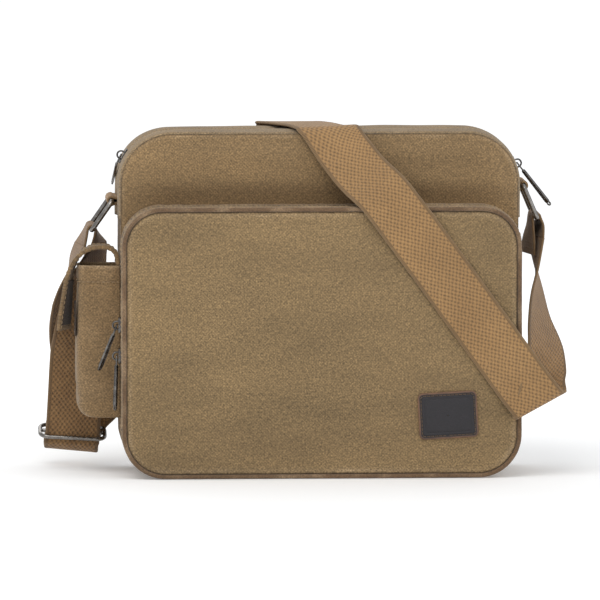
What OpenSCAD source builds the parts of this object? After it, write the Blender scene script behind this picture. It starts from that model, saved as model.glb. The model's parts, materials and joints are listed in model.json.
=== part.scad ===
// Messenger bag: a zipped main compartment with a zipped front pocket, a side pocket with an
// open tongue, two wire rings in webbing tabs and a webbing shoulder strap with a slide adjuster.
// Origin at the bottom centre of the base, +Z up, +X to the right seen from the front, and the
// front pocket faces -Y. Every length is in millimetres and every angle in degrees.

/* [Main compartment] */
// Width of the bag from side to side
body_w = 350; // [340:1:356]
// Height of the main compartment
body_h = 300; // [296:1:306]
// Depth of the main compartment, front panel to back panel
body_d = 82; // [80:1:86]
// Radius of the top corners
top_corner = 45; // [42:1:48]
// Radius of the bottom corners
base_corner = 38; // [34:1:42]

/* [Front pocket] */
// Height of the front pocket
pocket_h = 238; // [230:1:242]
// Depth of the front pocket
pocket_d = 42; // [40:1:46]
// Radius of the front pocket's top corners
pocket_corner = 35; // [30:1:38]
// Thickness of the piping cord round the front pocket
piping_d = 4; // [3:0.5:5]

/* [Fabric] */
// Thickness of one canvas panel
canvas_t = 1.8; // [1.4:0.1:2]
// Thickness of the lining
lining_t = 1; // [0.8:0.1:1.2]
// Thickness of the foam behind the main panels
foam_t = 3; // [2:0.5:3.5]

/* [Webbing] */
// Width of the shoulder webbing
strap_w = 48; // [46:1:50]
// Thickness of the shoulder webbing
strap_t = 2.2; // [1.8:0.1:2.4]

/* [Metal fittings] */
// Wire thickness of the two strap rings
ring_wire = 4.4; // [4:0.2:4.8]
// Distance between the two long bars of a ring, centre to centre
ring_l = 31; // [30:0.5:32]
// Wire thickness of the slide adjuster
adjuster_wire = 3.6; // [3.2:0.2:3.8]
// Length of a zip puller's blade
puller_l = 40; // [36:1:42]
// Width of a zip puller's blade
puller_w = 4.7; // [4:0.1:5]

/* [Side pocket] */
// How far the side pocket stands out from the bag's side
side_out = 38; // [34:1:39]
// Size of the side pocket from front to back
side_d = 42; // [40:1:43]
// Height of the side pocket
side_h = 134; // [120:1:136]

/* [Hidden] */
$fn = 64;

canvas = [0.50, 0.42, 0.30];
canvas_dark = [0.40, 0.33, 0.23];
webbing_tan = [0.57, 0.44, 0.31];
tape_brown = [0.35, 0.27, 0.20];
gunmetal = [0.30, 0.30, 0.32];
leather = [0.20, 0.17, 0.16];
lining_grey = [0.36, 0.33, 0.28];
foam_white = [0.85, 0.84, 0.80];

gap = 0.1;                                  // air left between pieces that are sewn together
front_y = -(body_d + pocket_d) / 2;         // outer face of the front pocket
seam_y = front_y + pocket_d;                // outer face of the main front panel
back_y = -front_y;                          // outer face of the back panel
side_x = body_w / 2;                        // outer face of the side gussets

// Zips: half width of the chain, width of each tape and height of the chain over the tape
chain_half = 2.7;
tape_w = 3.6;
chain_rise = 1.2;
tape_t = 0.8;
main_zip_y = (seam_y + back_y) / 2;
pocket_zip_y = front_y + 18;
main_zip_low = 258.5;                       // the main zip's ends on both sides
gusset_split = 225;                         // where the top gusset meets the side gusset
pocket_zip_low = 40;                        // the pocket zip's ends on both sides

// Sliders: plate length, width and thickness, and the crown that holds the puller
slider_l = 14;
slider_w = 10.6;
slider_t = 1.6;
crown_r = 4.2;
crown_t = 2.2;
slider_lift = 1.7;                          // underside of the plate above the tape
crown_z = slider_lift + slider_t + 1.4;     // centre of the crown's hole above the tape
left_slider_angle = 29;                     // places of the closed sliders on the corner arcs
right_slider_angle = 18;
upper_slider_z = 134;
lower_slider_z = 107;

// Strap rings
tab_y = back_y - 30;
ring_corner = 4;
ring_w = strap_w + 2 * ring_corner;          // the long bars are as long as the webbing is wide
left_bar = [-side_x - 6.5, tab_y, 239];
right_bar = [side_x + 6.0, tab_y, 251];
left_ring_tilt = 35;
right_ring_tilt = 23;

// Side pocket
side_y0 = seam_y + 2;
side_y1 = side_y0 + side_d;
side_z0 = 50;
side_z1 = side_z0 + side_h;
side_corner = 12;
tongue_w = 24;
tongue_t = 3;

// Slide adjuster
adjuster_pos = [-side_x - 40, back_y + 7.4, 29];
adjuster_lean = 3.2;                        // lean of the straight webbing under the adjuster
adjuster_tilt = 20;                         // tilt of the wire frame out of the level
adjuster_w = strap_w + 9.4;
adjuster_depth = 25;
adjuster_corner = 7.5;
inner_y = back_y - 0.5;                     // middle of the inner webbing layer at the adjuster
outer_y = inner_y + strap_t + 0.4;          // middle of the outer webbing layer there

// ---- Outlines and strips -------------------------------------------------------------------

// Rectangle standing on y = 0 with round corners, top and bottom radii apart
module rounded_outline(w, h, top_r, base_r) {
    translate([-w / 2, base_r]) square([w, h - top_r - base_r]);
    translate([-w / 2 + base_r, 0]) square([w - 2 * base_r, h / 2]);
    translate([-w / 2 + top_r, h / 2]) square([w - 2 * top_r, h / 2]);
    for (side = [-1, 1]) {
        translate([side * (w / 2 - base_r), base_r]) circle(base_r);
        translate([side * (w / 2 - top_r), h - top_r]) circle(top_r);
    }
}

module body_outline(inset) {
    translate([0, inset])
        rounded_outline(body_w - 2 * inset, body_h - 2 * inset,
                        top_corner - inset, base_corner - inset);
}

module pocket_outline(inset) {
    translate([0, inset])
        rounded_outline(body_w - 2 * inset, pocket_h - 2 * inset,
                        pocket_corner - inset, base_corner - inset);
}

// Stands a flat outline up and gives it the depth from y0 to y1
module across(y0, y1) {
    translate([0, y1, 0]) rotate([90, 0, 0]) linear_extrude(y1 - y0) children();
}

// Everything above or below a height, as a flat shape
module above(z) { translate([-body_w, z]) square([2 * body_w, 2 * body_h]); }
module below(z) { translate([-body_w, z - body_h]) square([2 * body_w, body_h]); }

// Strip of fabric that follows the main outline, cut away where its children are
module body_strip(y0, y1, outer, inner) {
    across(y0, y1) difference() {
        body_outline(outer);
        body_outline(inner);
        children();
    }
}

module pocket_strip(y0, y1, outer, inner) {
    across(y0, y1) difference() {
        pocket_outline(outer);
        pocket_outline(inner);
        children();
    }
}

// Round cord that follows a rounded outline, in the plane of the outline
module cord_quarter(x, z, r, d, turn) {
    translate([x, z, 0]) rotate([0, 0, turn])
        rotate_extrude(angle = 90) translate([r, 0]) circle(d = d, $fn = 24);
}

module cord_run(x, z, length, turn, d) {
    translate([x, z, 0]) rotate([0, 0, turn]) rotate([0, 90, 0])
        cylinder(h = length, d = d, $fn = 24);
}

module cord_loop(w, h, top_r, base_r, d) {
    cord_run(-w / 2 + base_r, 0, w - 2 * base_r, 0, d);
    cord_run(-w / 2 + top_r, h, w - 2 * top_r, 0, d);
    for (side = [-1, 1])
        cord_run(side * w / 2, base_r, h - top_r - base_r, 90, d);
    cord_quarter(w / 2 - top_r, h - top_r, top_r, d, 0);
    cord_quarter(-w / 2 + top_r, h - top_r, top_r, d, 90);
    cord_quarter(-w / 2 + base_r, base_r, base_r, d, 180);
    cord_quarter(w / 2 - base_r, base_r, base_r, d, 270);
}

// ---- Webbing -------------------------------------------------------------------------------

function unit(v) = v / norm(v);

// Point on the smooth curve through the points p, between point i and the next
function curve_point(p, i, t) =
    let (a = p[max(i - 1, 0)], b = p[i], c = p[i + 1], d = p[min(i + 2, len(p) - 1)])
    (2 * b + (c - a) * t + (2 * a - 5 * b + 4 * c - d) * t * t
        + (3 * b - a - 3 * c + d) * t * t * t) / 2;

function smooth_path(p, steps) =
    [for (i = [0 : len(p) - 2], k = [0 : steps - 1]) curve_point(p, i, k / steps), p[len(p) - 1]];

function heading(p, i) = unit(p[min(i + 1, len(p) - 1)] - p[max(i - 1, 0)]);

// The four corners of the ribbon's section at each point of the path. A section may lie askew to
// the path, as it does along a fold, and is then longer, so that the ribbon keeps its width.
function ribbon_corners(p, across_dir, w, t) =
    [for (i = [0 : len(p) - 1])
        let (along = heading(p, i),
             skew = unit(across_dir[i]),
             lean = skew * along,
             side = skew * w / 2 / sqrt(1 - lean * lean),
             face = unit(cross(along, side)) * t / 2)
        each [p[i] - side - face, p[i] + side - face, p[i] + side + face, p[i] - side + face]];

// Flat ribbon along stations of [centre, direction across the ribbon]
module ribbon(stations, w, t, steps) {
    path = smooth_path([for (s = stations) s[0]], steps);
    dirs = smooth_path([for (s = stations) s[1]], steps);
    last = len(path) - 1;
    walls = [for (i = [0 : last - 1], k = [0 : 3])
        each [[4 * i + k, 4 * i + (k + 1) % 4, 4 * i + 4 + k],
              [4 * i + (k + 1) % 4, 4 * i + 4 + (k + 1) % 4, 4 * i + 4 + k]]];
    polyhedron(points = ribbon_corners(path, dirs, w, t),
               faces = concat([[0, 3, 2, 1]], walls,
                              [[for (k = [0 : 3]) 4 * last + k]]),
               convexity = 8);
}

// Direction across the webbing, turned by an angle about Z from front-to-back
function turned(angle) = [sin(angle), cos(angle), 0];

// Rectangular wire loop in the XY plane, round its own centre
module wire_loop(w, l, r, d) {
    translate([0, -l / 2, 0]) cord_loop(w, l, r, r, d);
}

// ---- Main compartment ----------------------------------------------------------------------

module main_front_panel() {
    color(canvas) across(seam_y, seam_y + canvas_t) body_outline(0);
}

module back_panel() {
    color(canvas) across(back_y - canvas_t, back_y) body_outline(piping_d + gap);
}

// Strip round the base and up both sides to the tabs
module side_base_gusset() {
    color(canvas)
        body_strip(seam_y + canvas_t + gap, back_y - piping_d - gap, 0, canvas_t)
            above(gusset_split);
}

// Strips on both sides of the main zip; below the zip's ends they meet in the middle
module top_gusset(y0, y1, end_y0, end_y1) {
    body_strip(y0, y1, 0, canvas_t) below(gusset_split + gap);
    body_strip(end_y0, end_y1, 0, canvas_t) {
        below(gusset_split + gap);
        above(main_zip_low - gap);
    }
}

module top_gusset_front() {
    y0 = seam_y + canvas_t + gap;
    y1 = main_zip_y - chain_half - tape_w - 2 * gap;
    color(canvas) top_gusset(y0, y1, y1, main_zip_y - gap / 2);
}

module top_gusset_back() {
    y0 = main_zip_y + chain_half + tape_w + 2 * gap;
    color(canvas) top_gusset(y0, back_y - piping_d - gap, main_zip_y + gap / 2, y0);
}

module back_piping() {
    color(canvas_dark)
        translate([0, back_y - piping_d / 2, piping_d / 2]) rotate([90, 0, 0])
            cord_loop(body_w - piping_d, body_h - piping_d, top_corner - piping_d / 2,
                      base_corner - piping_d / 2, piping_d);
}

module main_tape(side) {
    near = main_zip_y + side * (chain_half + gap);
    far = near + side * tape_w;
    color(tape_brown)
        body_strip(min(near, far), max(near, far), 0.5, 0.5 + tape_t) below(main_zip_low);
}

module main_zip_tape_front() { main_tape(-1); }
module main_zip_tape_back() { main_tape(1); }

module main_zip_chain() {
    color(gunmetal)
        body_strip(main_zip_y - chain_half, main_zip_y + chain_half, -chain_rise, 1.4)
            below(main_zip_low + 3);
}

module main_zip_stops() {
    color(gunmetal) for (side = [-1, 1])
        translate([side * (side_x + 0.1) - 1.3, main_zip_y - chain_half, main_zip_low])
            cube([2.6, 2 * chain_half, 2.6]);
}

// Inner bag of thin lining, open at the top where it is sewn to the zip tapes
module main_lining() {
    color(lining_grey) difference() {
        across(seam_y + 7, back_y - 7) body_outline(6);
        across(seam_y + 7 + lining_t, back_y - 7 - lining_t) difference() {
            body_outline(6 + lining_t);
            above(body_h - 14);
        }
        across(seam_y, back_y) above(body_h - 14);
    }
}

module front_foam() {
    y0 = seam_y + canvas_t + 0.3;
    color(foam_white) across(y0, y0 + foam_t) body_outline(4);
}

module back_foam() {
    y1 = back_y - canvas_t - 0.3;
    color(foam_white) across(y1 - foam_t, y1) body_outline(6);
}

// ---- Zip sliders and pullers ---------------------------------------------------------------

// Slider on a tape in the XY plane: it travels along X and its crown stands up along Z
module slider_body() {
    translate([-slider_l / 2, -slider_w / 2, slider_lift])
        cube([slider_l, slider_w, slider_t]);
    for (side = [-1, 1])
        translate([-slider_l / 2 + 1, side * (slider_w / 2 - 0.6) - 0.6, 0.5])
            cube([slider_l - 2, 1.2, slider_lift]);
    translate([0, crown_t / 2, crown_z]) rotate([90, 0, 0]) difference() {
        cylinder(r = crown_r, h = crown_t);
        translate([0, 0, -1]) cylinder(r = crown_r - 1.5, h = crown_t + 2);
        translate([-crown_r - 1, -crown_r - 1.6, -1]) cube([2 * crown_r + 2, crown_r, crown_t + 2]);
    }
}

// Puller that hangs along -Z from a pin line along Y: a wire link, and a long flat blade that
// lies on the link bent sideways by one angle and turned about the pin's direction by another
module puller_body(bend, droop) {
    link_l = 10;
    link_d = 1.4;
    link_rise = 0.6;                        // top wire of the link above the pin line
    neck = 1.7;                             // half width of the blade at the link
    blade_t = 1.6;
    hole_r = 1.3;
    translate([0, 0, link_rise - link_l / 2]) rotate([90, 0, 90])
        wire_loop(5.4, link_l, 2.2, link_d);
    translate([0, 0, link_rise - link_l]) rotate([0, droop, 0]) rotate([bend, 0, 0]) difference() {
        translate([-blade_t / 2, 0, neck]) rotate([90, 0, 90]) linear_extrude(blade_t) {
            translate([0, -neck]) circle(neck);
            polygon([[-neck, -neck], [neck, -neck],
                     [puller_w / 2, -puller_l + puller_w / 2],
                     [-puller_w / 2, -puller_l + puller_w / 2]]);
            translate([0, -puller_l + puller_w / 2]) circle(puller_w / 2);
        }
        translate([-blade_t, 0, neck - puller_l + puller_w / 2]) rotate([0, 90, 0])
            cylinder(r = hole_r, h = 2 * blade_t);
    }
}

// Puts a slider on the corner arc of the main zip; side is -1 for left and 1 for right
module on_corner(side, angle) {
    translate([side * (side_x - top_corner), main_zip_y, body_h - top_corner])
        rotate([0, side * (90 - angle), 0]) translate([0, 0, top_corner - 0.5]) children();
}

module main_slider_left() { color(gunmetal) on_corner(-1, left_slider_angle) slider_body(); }
module main_slider_right() { color(gunmetal) on_corner(1, right_slider_angle) slider_body(); }

// Place of a main slider's pin line
function main_pin(side, angle) =
    [side * (side_x - top_corner + (top_corner - 0.5 + crown_z) * cos(angle)),
     main_zip_y,
     body_h - top_corner + (top_corner - 0.5 + crown_z) * sin(angle)];

// The left puller lies back along the gusset, the right one stands off over the ring
module main_puller_left() {
    color(gunmetal) translate(main_pin(-1, left_slider_angle))
        rotate([0, 26, 0]) puller_body(60, -18);
}

module main_puller_right() {
    color(gunmetal) translate(main_pin(1, right_slider_angle)) rotate([0, -38, 0]) puller_body(0, 0);
}

// ---- Front pocket --------------------------------------------------------------------------

module pocket_panel() {
    color(canvas) across(front_y, front_y + canvas_t) pocket_outline(piping_d + gap);
}

module pocket_piping() {
    color(tape_brown)
        translate([0, front_y + piping_d / 2, piping_d / 2]) rotate([90, 0, 0])
            cord_loop(body_w - piping_d, pocket_h - piping_d, pocket_corner - piping_d / 2,
                      base_corner - piping_d / 2, piping_d);
}

module pocket_gusset_front() {
    color(canvas)
        pocket_strip(front_y + piping_d + gap, pocket_zip_y - chain_half - tape_w - 2 * gap,
                     0, canvas_t) below(pocket_zip_low + gap);
}

module pocket_gusset_back() {
    color(canvas)
        pocket_strip(pocket_zip_y + chain_half + tape_w + 2 * gap, seam_y - gap, 0, canvas_t)
            below(pocket_zip_low + gap);
}

module pocket_base_gusset() {
    color(canvas)
        pocket_strip(front_y + piping_d + gap, seam_y - gap, 0, canvas_t) above(pocket_zip_low);
}

module pocket_tape(side) {
    near = pocket_zip_y + side * (chain_half + gap);
    far = near + side * tape_w;
    color(tape_brown)
        pocket_strip(min(near, far), max(near, far), 0.5, 0.5 + tape_t)
            below(pocket_zip_low + gap);
}

module pocket_zip_tape_front() { pocket_tape(-1); }
module pocket_zip_tape_back() { pocket_tape(1); }

module pocket_zip_chain() {
    color(gunmetal)
        pocket_strip(pocket_zip_y - chain_half, pocket_zip_y + chain_half, -chain_rise, 1.4)
            below(pocket_zip_low + 4);
}

module pocket_zip_stops() {
    color(gunmetal) for (side = [-1, 1])
        translate([side * (side_x + 0.1) - 1.3, pocket_zip_y - chain_half, pocket_zip_low + 1])
            cube([2.6, 2 * chain_half, 2.6]);
}

// Sliders of the pocket zip sit on the left side gusset and travel along Z
module on_left_side(z) {
    translate([-side_x + 0.5, pocket_zip_y, z]) rotate([0, -90, 0]) children();
}

module pocket_slider_upper() { color(gunmetal) on_left_side(upper_slider_z) slider_body(); }
module pocket_slider_lower() { color(gunmetal) on_left_side(lower_slider_z) slider_body(); }

function pocket_pin(z) = [-side_x + 0.5 - crown_z, pocket_zip_y, z];

// The upper puller leans out and back against the side pocket, the lower one hangs straight
module pocket_puller_upper() {
    color(gunmetal) translate(pocket_pin(upper_slider_z))
        rotate([0, 20, 0]) puller_body(26, 0);
}

module pocket_puller_lower() {
    color(gunmetal) translate(pocket_pin(lower_slider_z)) rotate([0, 2, 0]) puller_body(0, 0);
}

module pocket_lining() {
    y0 = front_y + 5;
    y1 = seam_y - 2;
    color(lining_grey) difference() {
        across(y0, y1) pocket_outline(5);
        across(y0 + lining_t, y1 - lining_t) pocket_outline(5 + lining_t);
        across(y0 - 1, y1 + 1) above(pocket_h - 14);
    }
}

// Blank leather patch near the pocket's lower right corner
module leather_patch() {
    patch_w = 52;
    patch_h = 41;
    patch_t = 1.6;
    patch_r = 5;
    color(leather)
        translate([110, front_y - gap, 55.5]) rotate([90, 0, 0]) rotate([0, 0, 3])
            linear_extrude(patch_t) translate([0, -patch_h / 2])
                rounded_outline(patch_w, patch_h, patch_r, patch_r);
}

// ---- Side pocket ---------------------------------------------------------------------------

// Flat outline of the pouch seen from the front, its outer bottom corner round
module side_outline(inset) {
    x0 = -side_x - side_out + inset;
    z0 = side_z0 + inset;
    r = side_corner - inset;
    translate([x0 + r, z0]) square([side_out - inset - gap - r, side_h - inset]);
    translate([x0, z0 + r]) square([side_out / 2, side_h - inset - r]);
    translate([x0 + r, z0 + r]) circle(r);
}

module side_pocket() {
    back_wall = 1;
    color(canvas) difference() {
        across(side_y0, side_y1) side_outline(0);
        across(side_y0 + canvas_t, side_y1 - canvas_t) difference() {
            union() {
                side_outline(canvas_t);
                translate([-side_x - side_out + canvas_t, side_z1 - 20])
                    square([side_out - canvas_t - back_wall, 40]);
            }
            translate([-side_x - back_wall, side_z0]) square([back_wall, side_h]);
        }
    }
}

tongue_y = side_y0 + tongue_w / 2;
tongue_crest = [-side_x - 15, tongue_y, side_z1 + 16];

// Sewn to the bag's side above the pouch and rises to the crest of the tongue
module side_pocket_tongue_root() {
    stations = [
        [[-side_x - 2.0, tongue_y, side_z1 + 1], [0, 1, 0]],
        [[-side_x - 3.6, tongue_y, side_z1 + 10], [0, 1, 0]],
        [[-side_x - 9, tongue_y, tongue_crest[2] - 1], [0, 1, 0]],
        [[tongue_crest[0] + 1, tongue_y, tongue_crest[2]], [0, 1, 0]]
    ];
    color(canvas) ribbon(stations, tongue_w, tongue_t, 6);
}

// Free end of the tongue, hanging open outside the pouch
tongue_stations = [
    [[tongue_crest[0] - 1, tongue_y, tongue_crest[2]], [0, 1, 0]],
    [[-side_x - 26, tongue_y, side_z1 + 15], [0, 1, 0]],
    [[-side_x - 37, tongue_y, side_z1 + 7], [0.03, 1, 0]],
    [[-side_x - 44, tongue_y, side_z1 - 8], [0.06, 1, 0]],
    [[-side_x - 46.5, tongue_y, side_z1 - 32], [0.12, 1, 0]],
    [[-side_x - 48.5, tongue_y, side_z1 - 57], [0.2, 1, 0]]
];
tongue_steps = 6;

module side_pocket_tongue() {
    color(canvas) ribbon(tongue_stations, tongue_w, tongue_t, tongue_steps);
}

// Hook tape on the inside of the tongue's end, one step short of the end
module tongue_hook_tape() {
    hook_t = 1.2;
    hook_steps = 7;
    path = smooth_path([for (s = tongue_stations) s[0]], tongue_steps);
    dirs = smooth_path([for (s = tongue_stations) s[1]], tongue_steps);
    last = len(path) - 2;
    stations = [for (i = [last - hook_steps : last])
        [path[i] + unit(cross(heading(path, i), dirs[i])) * ((tongue_t + hook_t) / 2 + 4 * gap),
         dirs[i]]];
    color(tape_brown) ribbon(stations, tongue_w - 5, hook_t, 1);
}

// Loop tape sewn on the pouch's outer face, where the tongue closes
module pocket_loop_tape() {
    tape_h = 30;
    color(tape_brown)
        translate([-side_x - side_out - gap - 1.2, tongue_y - (tongue_w - 5) / 2, side_z1 - 62])
            cube([1.2, tongue_w - 5, tape_h]);
}

// ---- Tabs and rings ------------------------------------------------------------------------

// Webbing tab folded round a ring's bar and sewn to the gusset; side is -1 left, 1 right
module tab(bar, side) {
    bore_r = ring_wire / 2 + 0.08;
    wall = strap_t - 0.2;
    height = 10.5;
    translate([0, tab_y, 0]) difference() {
        union() {
            translate([bar[0], strap_w / 2, bar[2]]) rotate([90, 0, 0])
                cylinder(r = bore_r + wall, h = strap_w);
            translate([min(bar[0], side * (side_x + gap)), -strap_w / 2, bar[2] - wall - bore_r])
                cube([abs(bar[0]) - side_x - gap, strap_w, height]);
        }
        translate([bar[0], strap_w / 2 + 1, bar[2]]) rotate([90, 0, 0])
            cylinder(r = bore_r, h = strap_w + 2);
    }
}

module left_tab() { color(webbing_tan) tab(left_bar, -1); }
module right_tab() { color(webbing_tan) tab(right_bar, 1); }

// Puts a shape that hangs along -Z from the bar at the ring's place and tilt
module on_bar(bar, tilt) {
    translate(bar) rotate([0, tilt, 0]) children();
}

module ring() {
    translate([0, 0, -ring_l / 2]) rotate([90, 0, 90]) wire_loop(ring_w, ring_l, ring_corner, ring_wire);
}

module left_ring() { color(gunmetal) on_bar(left_bar, left_ring_tilt) ring(); }
module right_ring() { color(gunmetal) on_bar(right_bar, -right_ring_tilt) ring(); }

// Turn of webbing round a ring's lower bar
module ring_turn() {
    inner_r = ring_wire / 2 + 0.1;
    translate([0, strap_w / 2, -ring_l]) rotate([90, 0, 0]) difference() {
        cylinder(r = inner_r + strap_t, h = strap_w);
        translate([0, 0, -1]) cylinder(r = inner_r, h = strap_w + 2);
    }
}

module left_ring_webbing() { color(webbing_tan) on_bar(left_bar, left_ring_tilt) ring_turn(); }
module right_ring_webbing() { color(webbing_tan) on_bar(right_bar, -right_ring_tilt) ring_turn(); }

// ---- Shoulder strap ------------------------------------------------------------------------

left_x = adjuster_pos[0];
back_run_y = back_y + 5;
slack_y = back_y + 23.5;
front_run_y = front_y - 3.6;
top_z = body_h + 4.5;

// From the left ring down to the adjuster, under it, across the back, over the top, across the
// front, folded at the lower right and up to the right ring
strap_down = [
    [[-side_x - 17.5, tab_y + 4, 199], turned(16)],
    [[-side_x - 20.8, tab_y + 13, 187], turned(26)],
    [[-side_x - 28.8, tab_y + 24, 160], turned(50)],
    [[left_x + 6.2, inner_y - 3.6, 119], turned(74)],
    [[left_x + 4, inner_y, 97], turned(90)],
    [[left_x + 2, inner_y, 62], turned(90)],
    [[left_x, inner_y, 27], turned(90)]
];
strap_turn = [
    [[left_x + 0.2, inner_y + 2, 18], [0.99, 0, -0.1]],
    [[left_x + 1.5, inner_y + 12, 13], [0.97, 0, -0.22]],
    [[left_x + 5, slack_y - 1.5, 20], [0.97, 0, -0.3]],
    [[left_x + 15, slack_y, 44], [0.86, 0, -0.5]],
    [[left_x + 43, slack_y, 86], [0.82, 0, -0.57]]
];
strap_back = [
    [[-side_x + 50, back_run_y + 1, 151], [0.82, 0, -0.57]],
    [[-side_x + 94, back_run_y, 214], [0.82, 0, -0.57]],
    [[-46, back_run_y, 264], [0.86, 0, -0.5]]
];
strap_top = [
    [[-30, back_y + 4.4, body_h - 6], [1, 0, -0.08]],
    [[-27, back_y + 1.6, body_h + 2.6], [1, 0.04, -0.04]],
    [[-22, back_y - 8, top_z], [1, 0.08, 0]],
    [[-9, main_zip_y, top_z + 0.8], [0.97, 0.25, 0]],
    [[1, seam_y + 14, top_z], [1, 0.08, 0]]
];
strap_front = [
    [[8, seam_y - 1, body_h + 3.5], [0.98, 0, 0.1]],
    [[20, seam_y - 14, body_h - 14], [0.86, 0.1, 0.46]],
    [[36, seam_y - 28, body_h - 34], [0.79, 0.18, 0.58]],
    [[53, front_y + 0.5, pocket_h + 12], [0.79, 0.17, 0.58]],
    [[70, front_run_y, pocket_h - 10], [0.805, 0.05, 0.59]],
    [[101, front_run_y, 186], [0.809, 0, 0.588]],
    [[149, front_run_y, 119.5], [0.809, 0, 0.588]],
    [[173, front_run_y + 0.8, 86], [0.81, 0.03, 0.58]]
];
fold_line = [0.85, 0.36, 0.38];
strap_up = [
    [[side_x + 14.5, front_y + 0.2, 70.5], [0.83, 0.2, 0.48]],
    [[side_x + 24.5, front_y + 4.8, 63.5], fold_line],
    [[side_x + 27.5, front_y + 9.5, 61], fold_line],
    [[side_x + 28.5, front_y + 14.5, 64], fold_line],
    [[side_x + 27, front_y + 20, 72], [0.86, 0.42, 0.28]],
    [[side_x + 22, front_y + 28, 90], [0.8, 0.58, 0.1]],
    [[side_x + 20, front_y + 40, 112], [0.66, 0.75, 0]],
    [[side_x + 18.5, front_y + 54, 135], [0.42, 0.91, 0]],
    [[side_x + 18, front_y + 68, 158], [0.25, 0.97, 0]],
    [[side_x + 18.5, front_y + 81, 181], [0, 1, 0]],
    [[side_x + 18.5, front_y + 90, 205], [-0.22, 0.975, 0]]
];

module shoulder_strap() {
    color(webbing_tan)
        ribbon(concat(strap_down, strap_turn, strap_back, strap_top, strap_front, strap_up),
               strap_w, strap_t, 6);
}

// Second layer between the left ring and the adjuster, slack near the ring
module strap_return_layer() {
    stations = [
        [[-side_x - 33.5, tab_y + 1.5, 199], turned(-8)],
        [[-side_x - 40.5, tab_y + 8, 184], turned(-2)],
        [[-side_x - 49, tab_y + 19, 162], turned(12)],
        [[-side_x - 50, tab_y + 31, 140], turned(34)],
        [[left_x - 1.5, outer_y + 6, 119], turned(61)],
        [[left_x + 4.5, outer_y + 1.6, 101], turned(84)],
        [[left_x + 3.4, outer_y + 0.5, 84], turned(90)],
        [[left_x + 0.8, outer_y, 40], turned(90)]
    ];
    color(webbing_tan) ribbon(stations, strap_w, strap_t, 6);
}

// ---- Slide adjuster ------------------------------------------------------------------------

module at_adjuster() {
    translate(adjuster_pos) rotate([0, adjuster_lean, 0]) rotate([adjuster_tilt, 0, 0]) children();
}

module adjuster_frame() {
    color(gunmetal) at_adjuster()
        wire_loop(adjuster_w, adjuster_depth, adjuster_corner, adjuster_wire);
}

// Bar across the middle of the frame, its ends seated against the frame's wire
module adjuster_bar() {
    bar_l = adjuster_w - adjuster_wire - 2 * gap;
    color(gunmetal) at_adjuster()
        translate([-bar_l / 2, 0, 0]) rotate([0, 90, 0]) cylinder(d = adjuster_wire, h = bar_l);
}

// Sewn end of the webbing round the bar, with its short tail
module strap_sewn_end() {
    inner_r = adjuster_wire / 2 + 0.15;
    wall = 1.7;
    tail = 9;
    color(webbing_tan) translate(adjuster_pos) rotate([0, adjuster_lean, 0]) difference() {
        union() {
            translate([-strap_w / 2, 0, 0]) rotate([0, 90, 0])
                cylinder(r = inner_r + wall, h = strap_w);
            translate([-strap_w / 2, -inner_r - wall, 0]) cube([strap_w, wall, tail]);
        }
        translate([-strap_w / 2 - 1, 0, 0]) rotate([0, 90, 0])
            cylinder(r = inner_r, h = strap_w + 2);
    }
}

main_front_panel();
back_panel();
side_base_gusset();
top_gusset_front();
top_gusset_back();
back_piping();
main_zip_tape_front();
main_zip_tape_back();
main_zip_chain();
main_zip_stops();
main_slider_left();
main_slider_right();
main_puller_left();
main_puller_right();
main_lining();
front_foam();
back_foam();
pocket_panel();
pocket_piping();
pocket_gusset_front();
pocket_gusset_back();
pocket_base_gusset();
pocket_zip_tape_front();
pocket_zip_tape_back();
pocket_zip_chain();
pocket_zip_stops();
pocket_slider_upper();
pocket_slider_lower();
pocket_puller_upper();
pocket_puller_lower();
pocket_lining();
leather_patch();
side_pocket();
side_pocket_tongue_root();
side_pocket_tongue();
tongue_hook_tape();
pocket_loop_tape();
left_tab();
right_tab();
left_ring();
right_ring();
shoulder_strap();
strap_return_layer();
left_ring_webbing();
right_ring_webbing();
adjuster_frame();
adjuster_bar();
strap_sewn_end();
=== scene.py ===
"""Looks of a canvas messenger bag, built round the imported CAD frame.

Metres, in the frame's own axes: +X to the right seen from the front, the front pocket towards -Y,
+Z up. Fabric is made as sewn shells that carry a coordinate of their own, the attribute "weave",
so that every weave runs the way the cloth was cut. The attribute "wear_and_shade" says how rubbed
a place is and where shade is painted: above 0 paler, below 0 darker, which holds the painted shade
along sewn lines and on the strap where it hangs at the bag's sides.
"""
import bpy
import json
import math
import random
import numpy as np
from mathutils import Matrix, Vector, noise


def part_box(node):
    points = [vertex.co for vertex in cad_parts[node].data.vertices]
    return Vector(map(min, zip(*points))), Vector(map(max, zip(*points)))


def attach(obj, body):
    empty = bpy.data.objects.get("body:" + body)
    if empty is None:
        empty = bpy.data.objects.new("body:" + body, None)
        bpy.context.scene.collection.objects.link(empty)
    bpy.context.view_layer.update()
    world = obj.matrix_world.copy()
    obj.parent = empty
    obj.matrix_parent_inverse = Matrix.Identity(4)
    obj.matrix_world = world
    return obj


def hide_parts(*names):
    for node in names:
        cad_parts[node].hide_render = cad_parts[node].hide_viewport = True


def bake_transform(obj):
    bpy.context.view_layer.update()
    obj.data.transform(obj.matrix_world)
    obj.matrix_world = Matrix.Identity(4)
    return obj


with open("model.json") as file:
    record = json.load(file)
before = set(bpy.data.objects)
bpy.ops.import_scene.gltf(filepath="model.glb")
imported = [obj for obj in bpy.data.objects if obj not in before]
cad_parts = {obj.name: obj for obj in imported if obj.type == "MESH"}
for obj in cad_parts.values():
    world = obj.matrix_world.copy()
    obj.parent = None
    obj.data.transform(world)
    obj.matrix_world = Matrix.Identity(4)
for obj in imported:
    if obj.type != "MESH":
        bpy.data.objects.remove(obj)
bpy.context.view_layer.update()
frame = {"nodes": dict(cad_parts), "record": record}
scene = bpy.context.scene

MM = 0.001
JOINTS = {j["name"]: j for j in frame["record"]["behaviour"]["joints"]}


def low(node):
    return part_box(node)[0]


def high(node):
    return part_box(node)[1]


def middle(node):
    lo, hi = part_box(node)
    return (lo + hi) / 2


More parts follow.
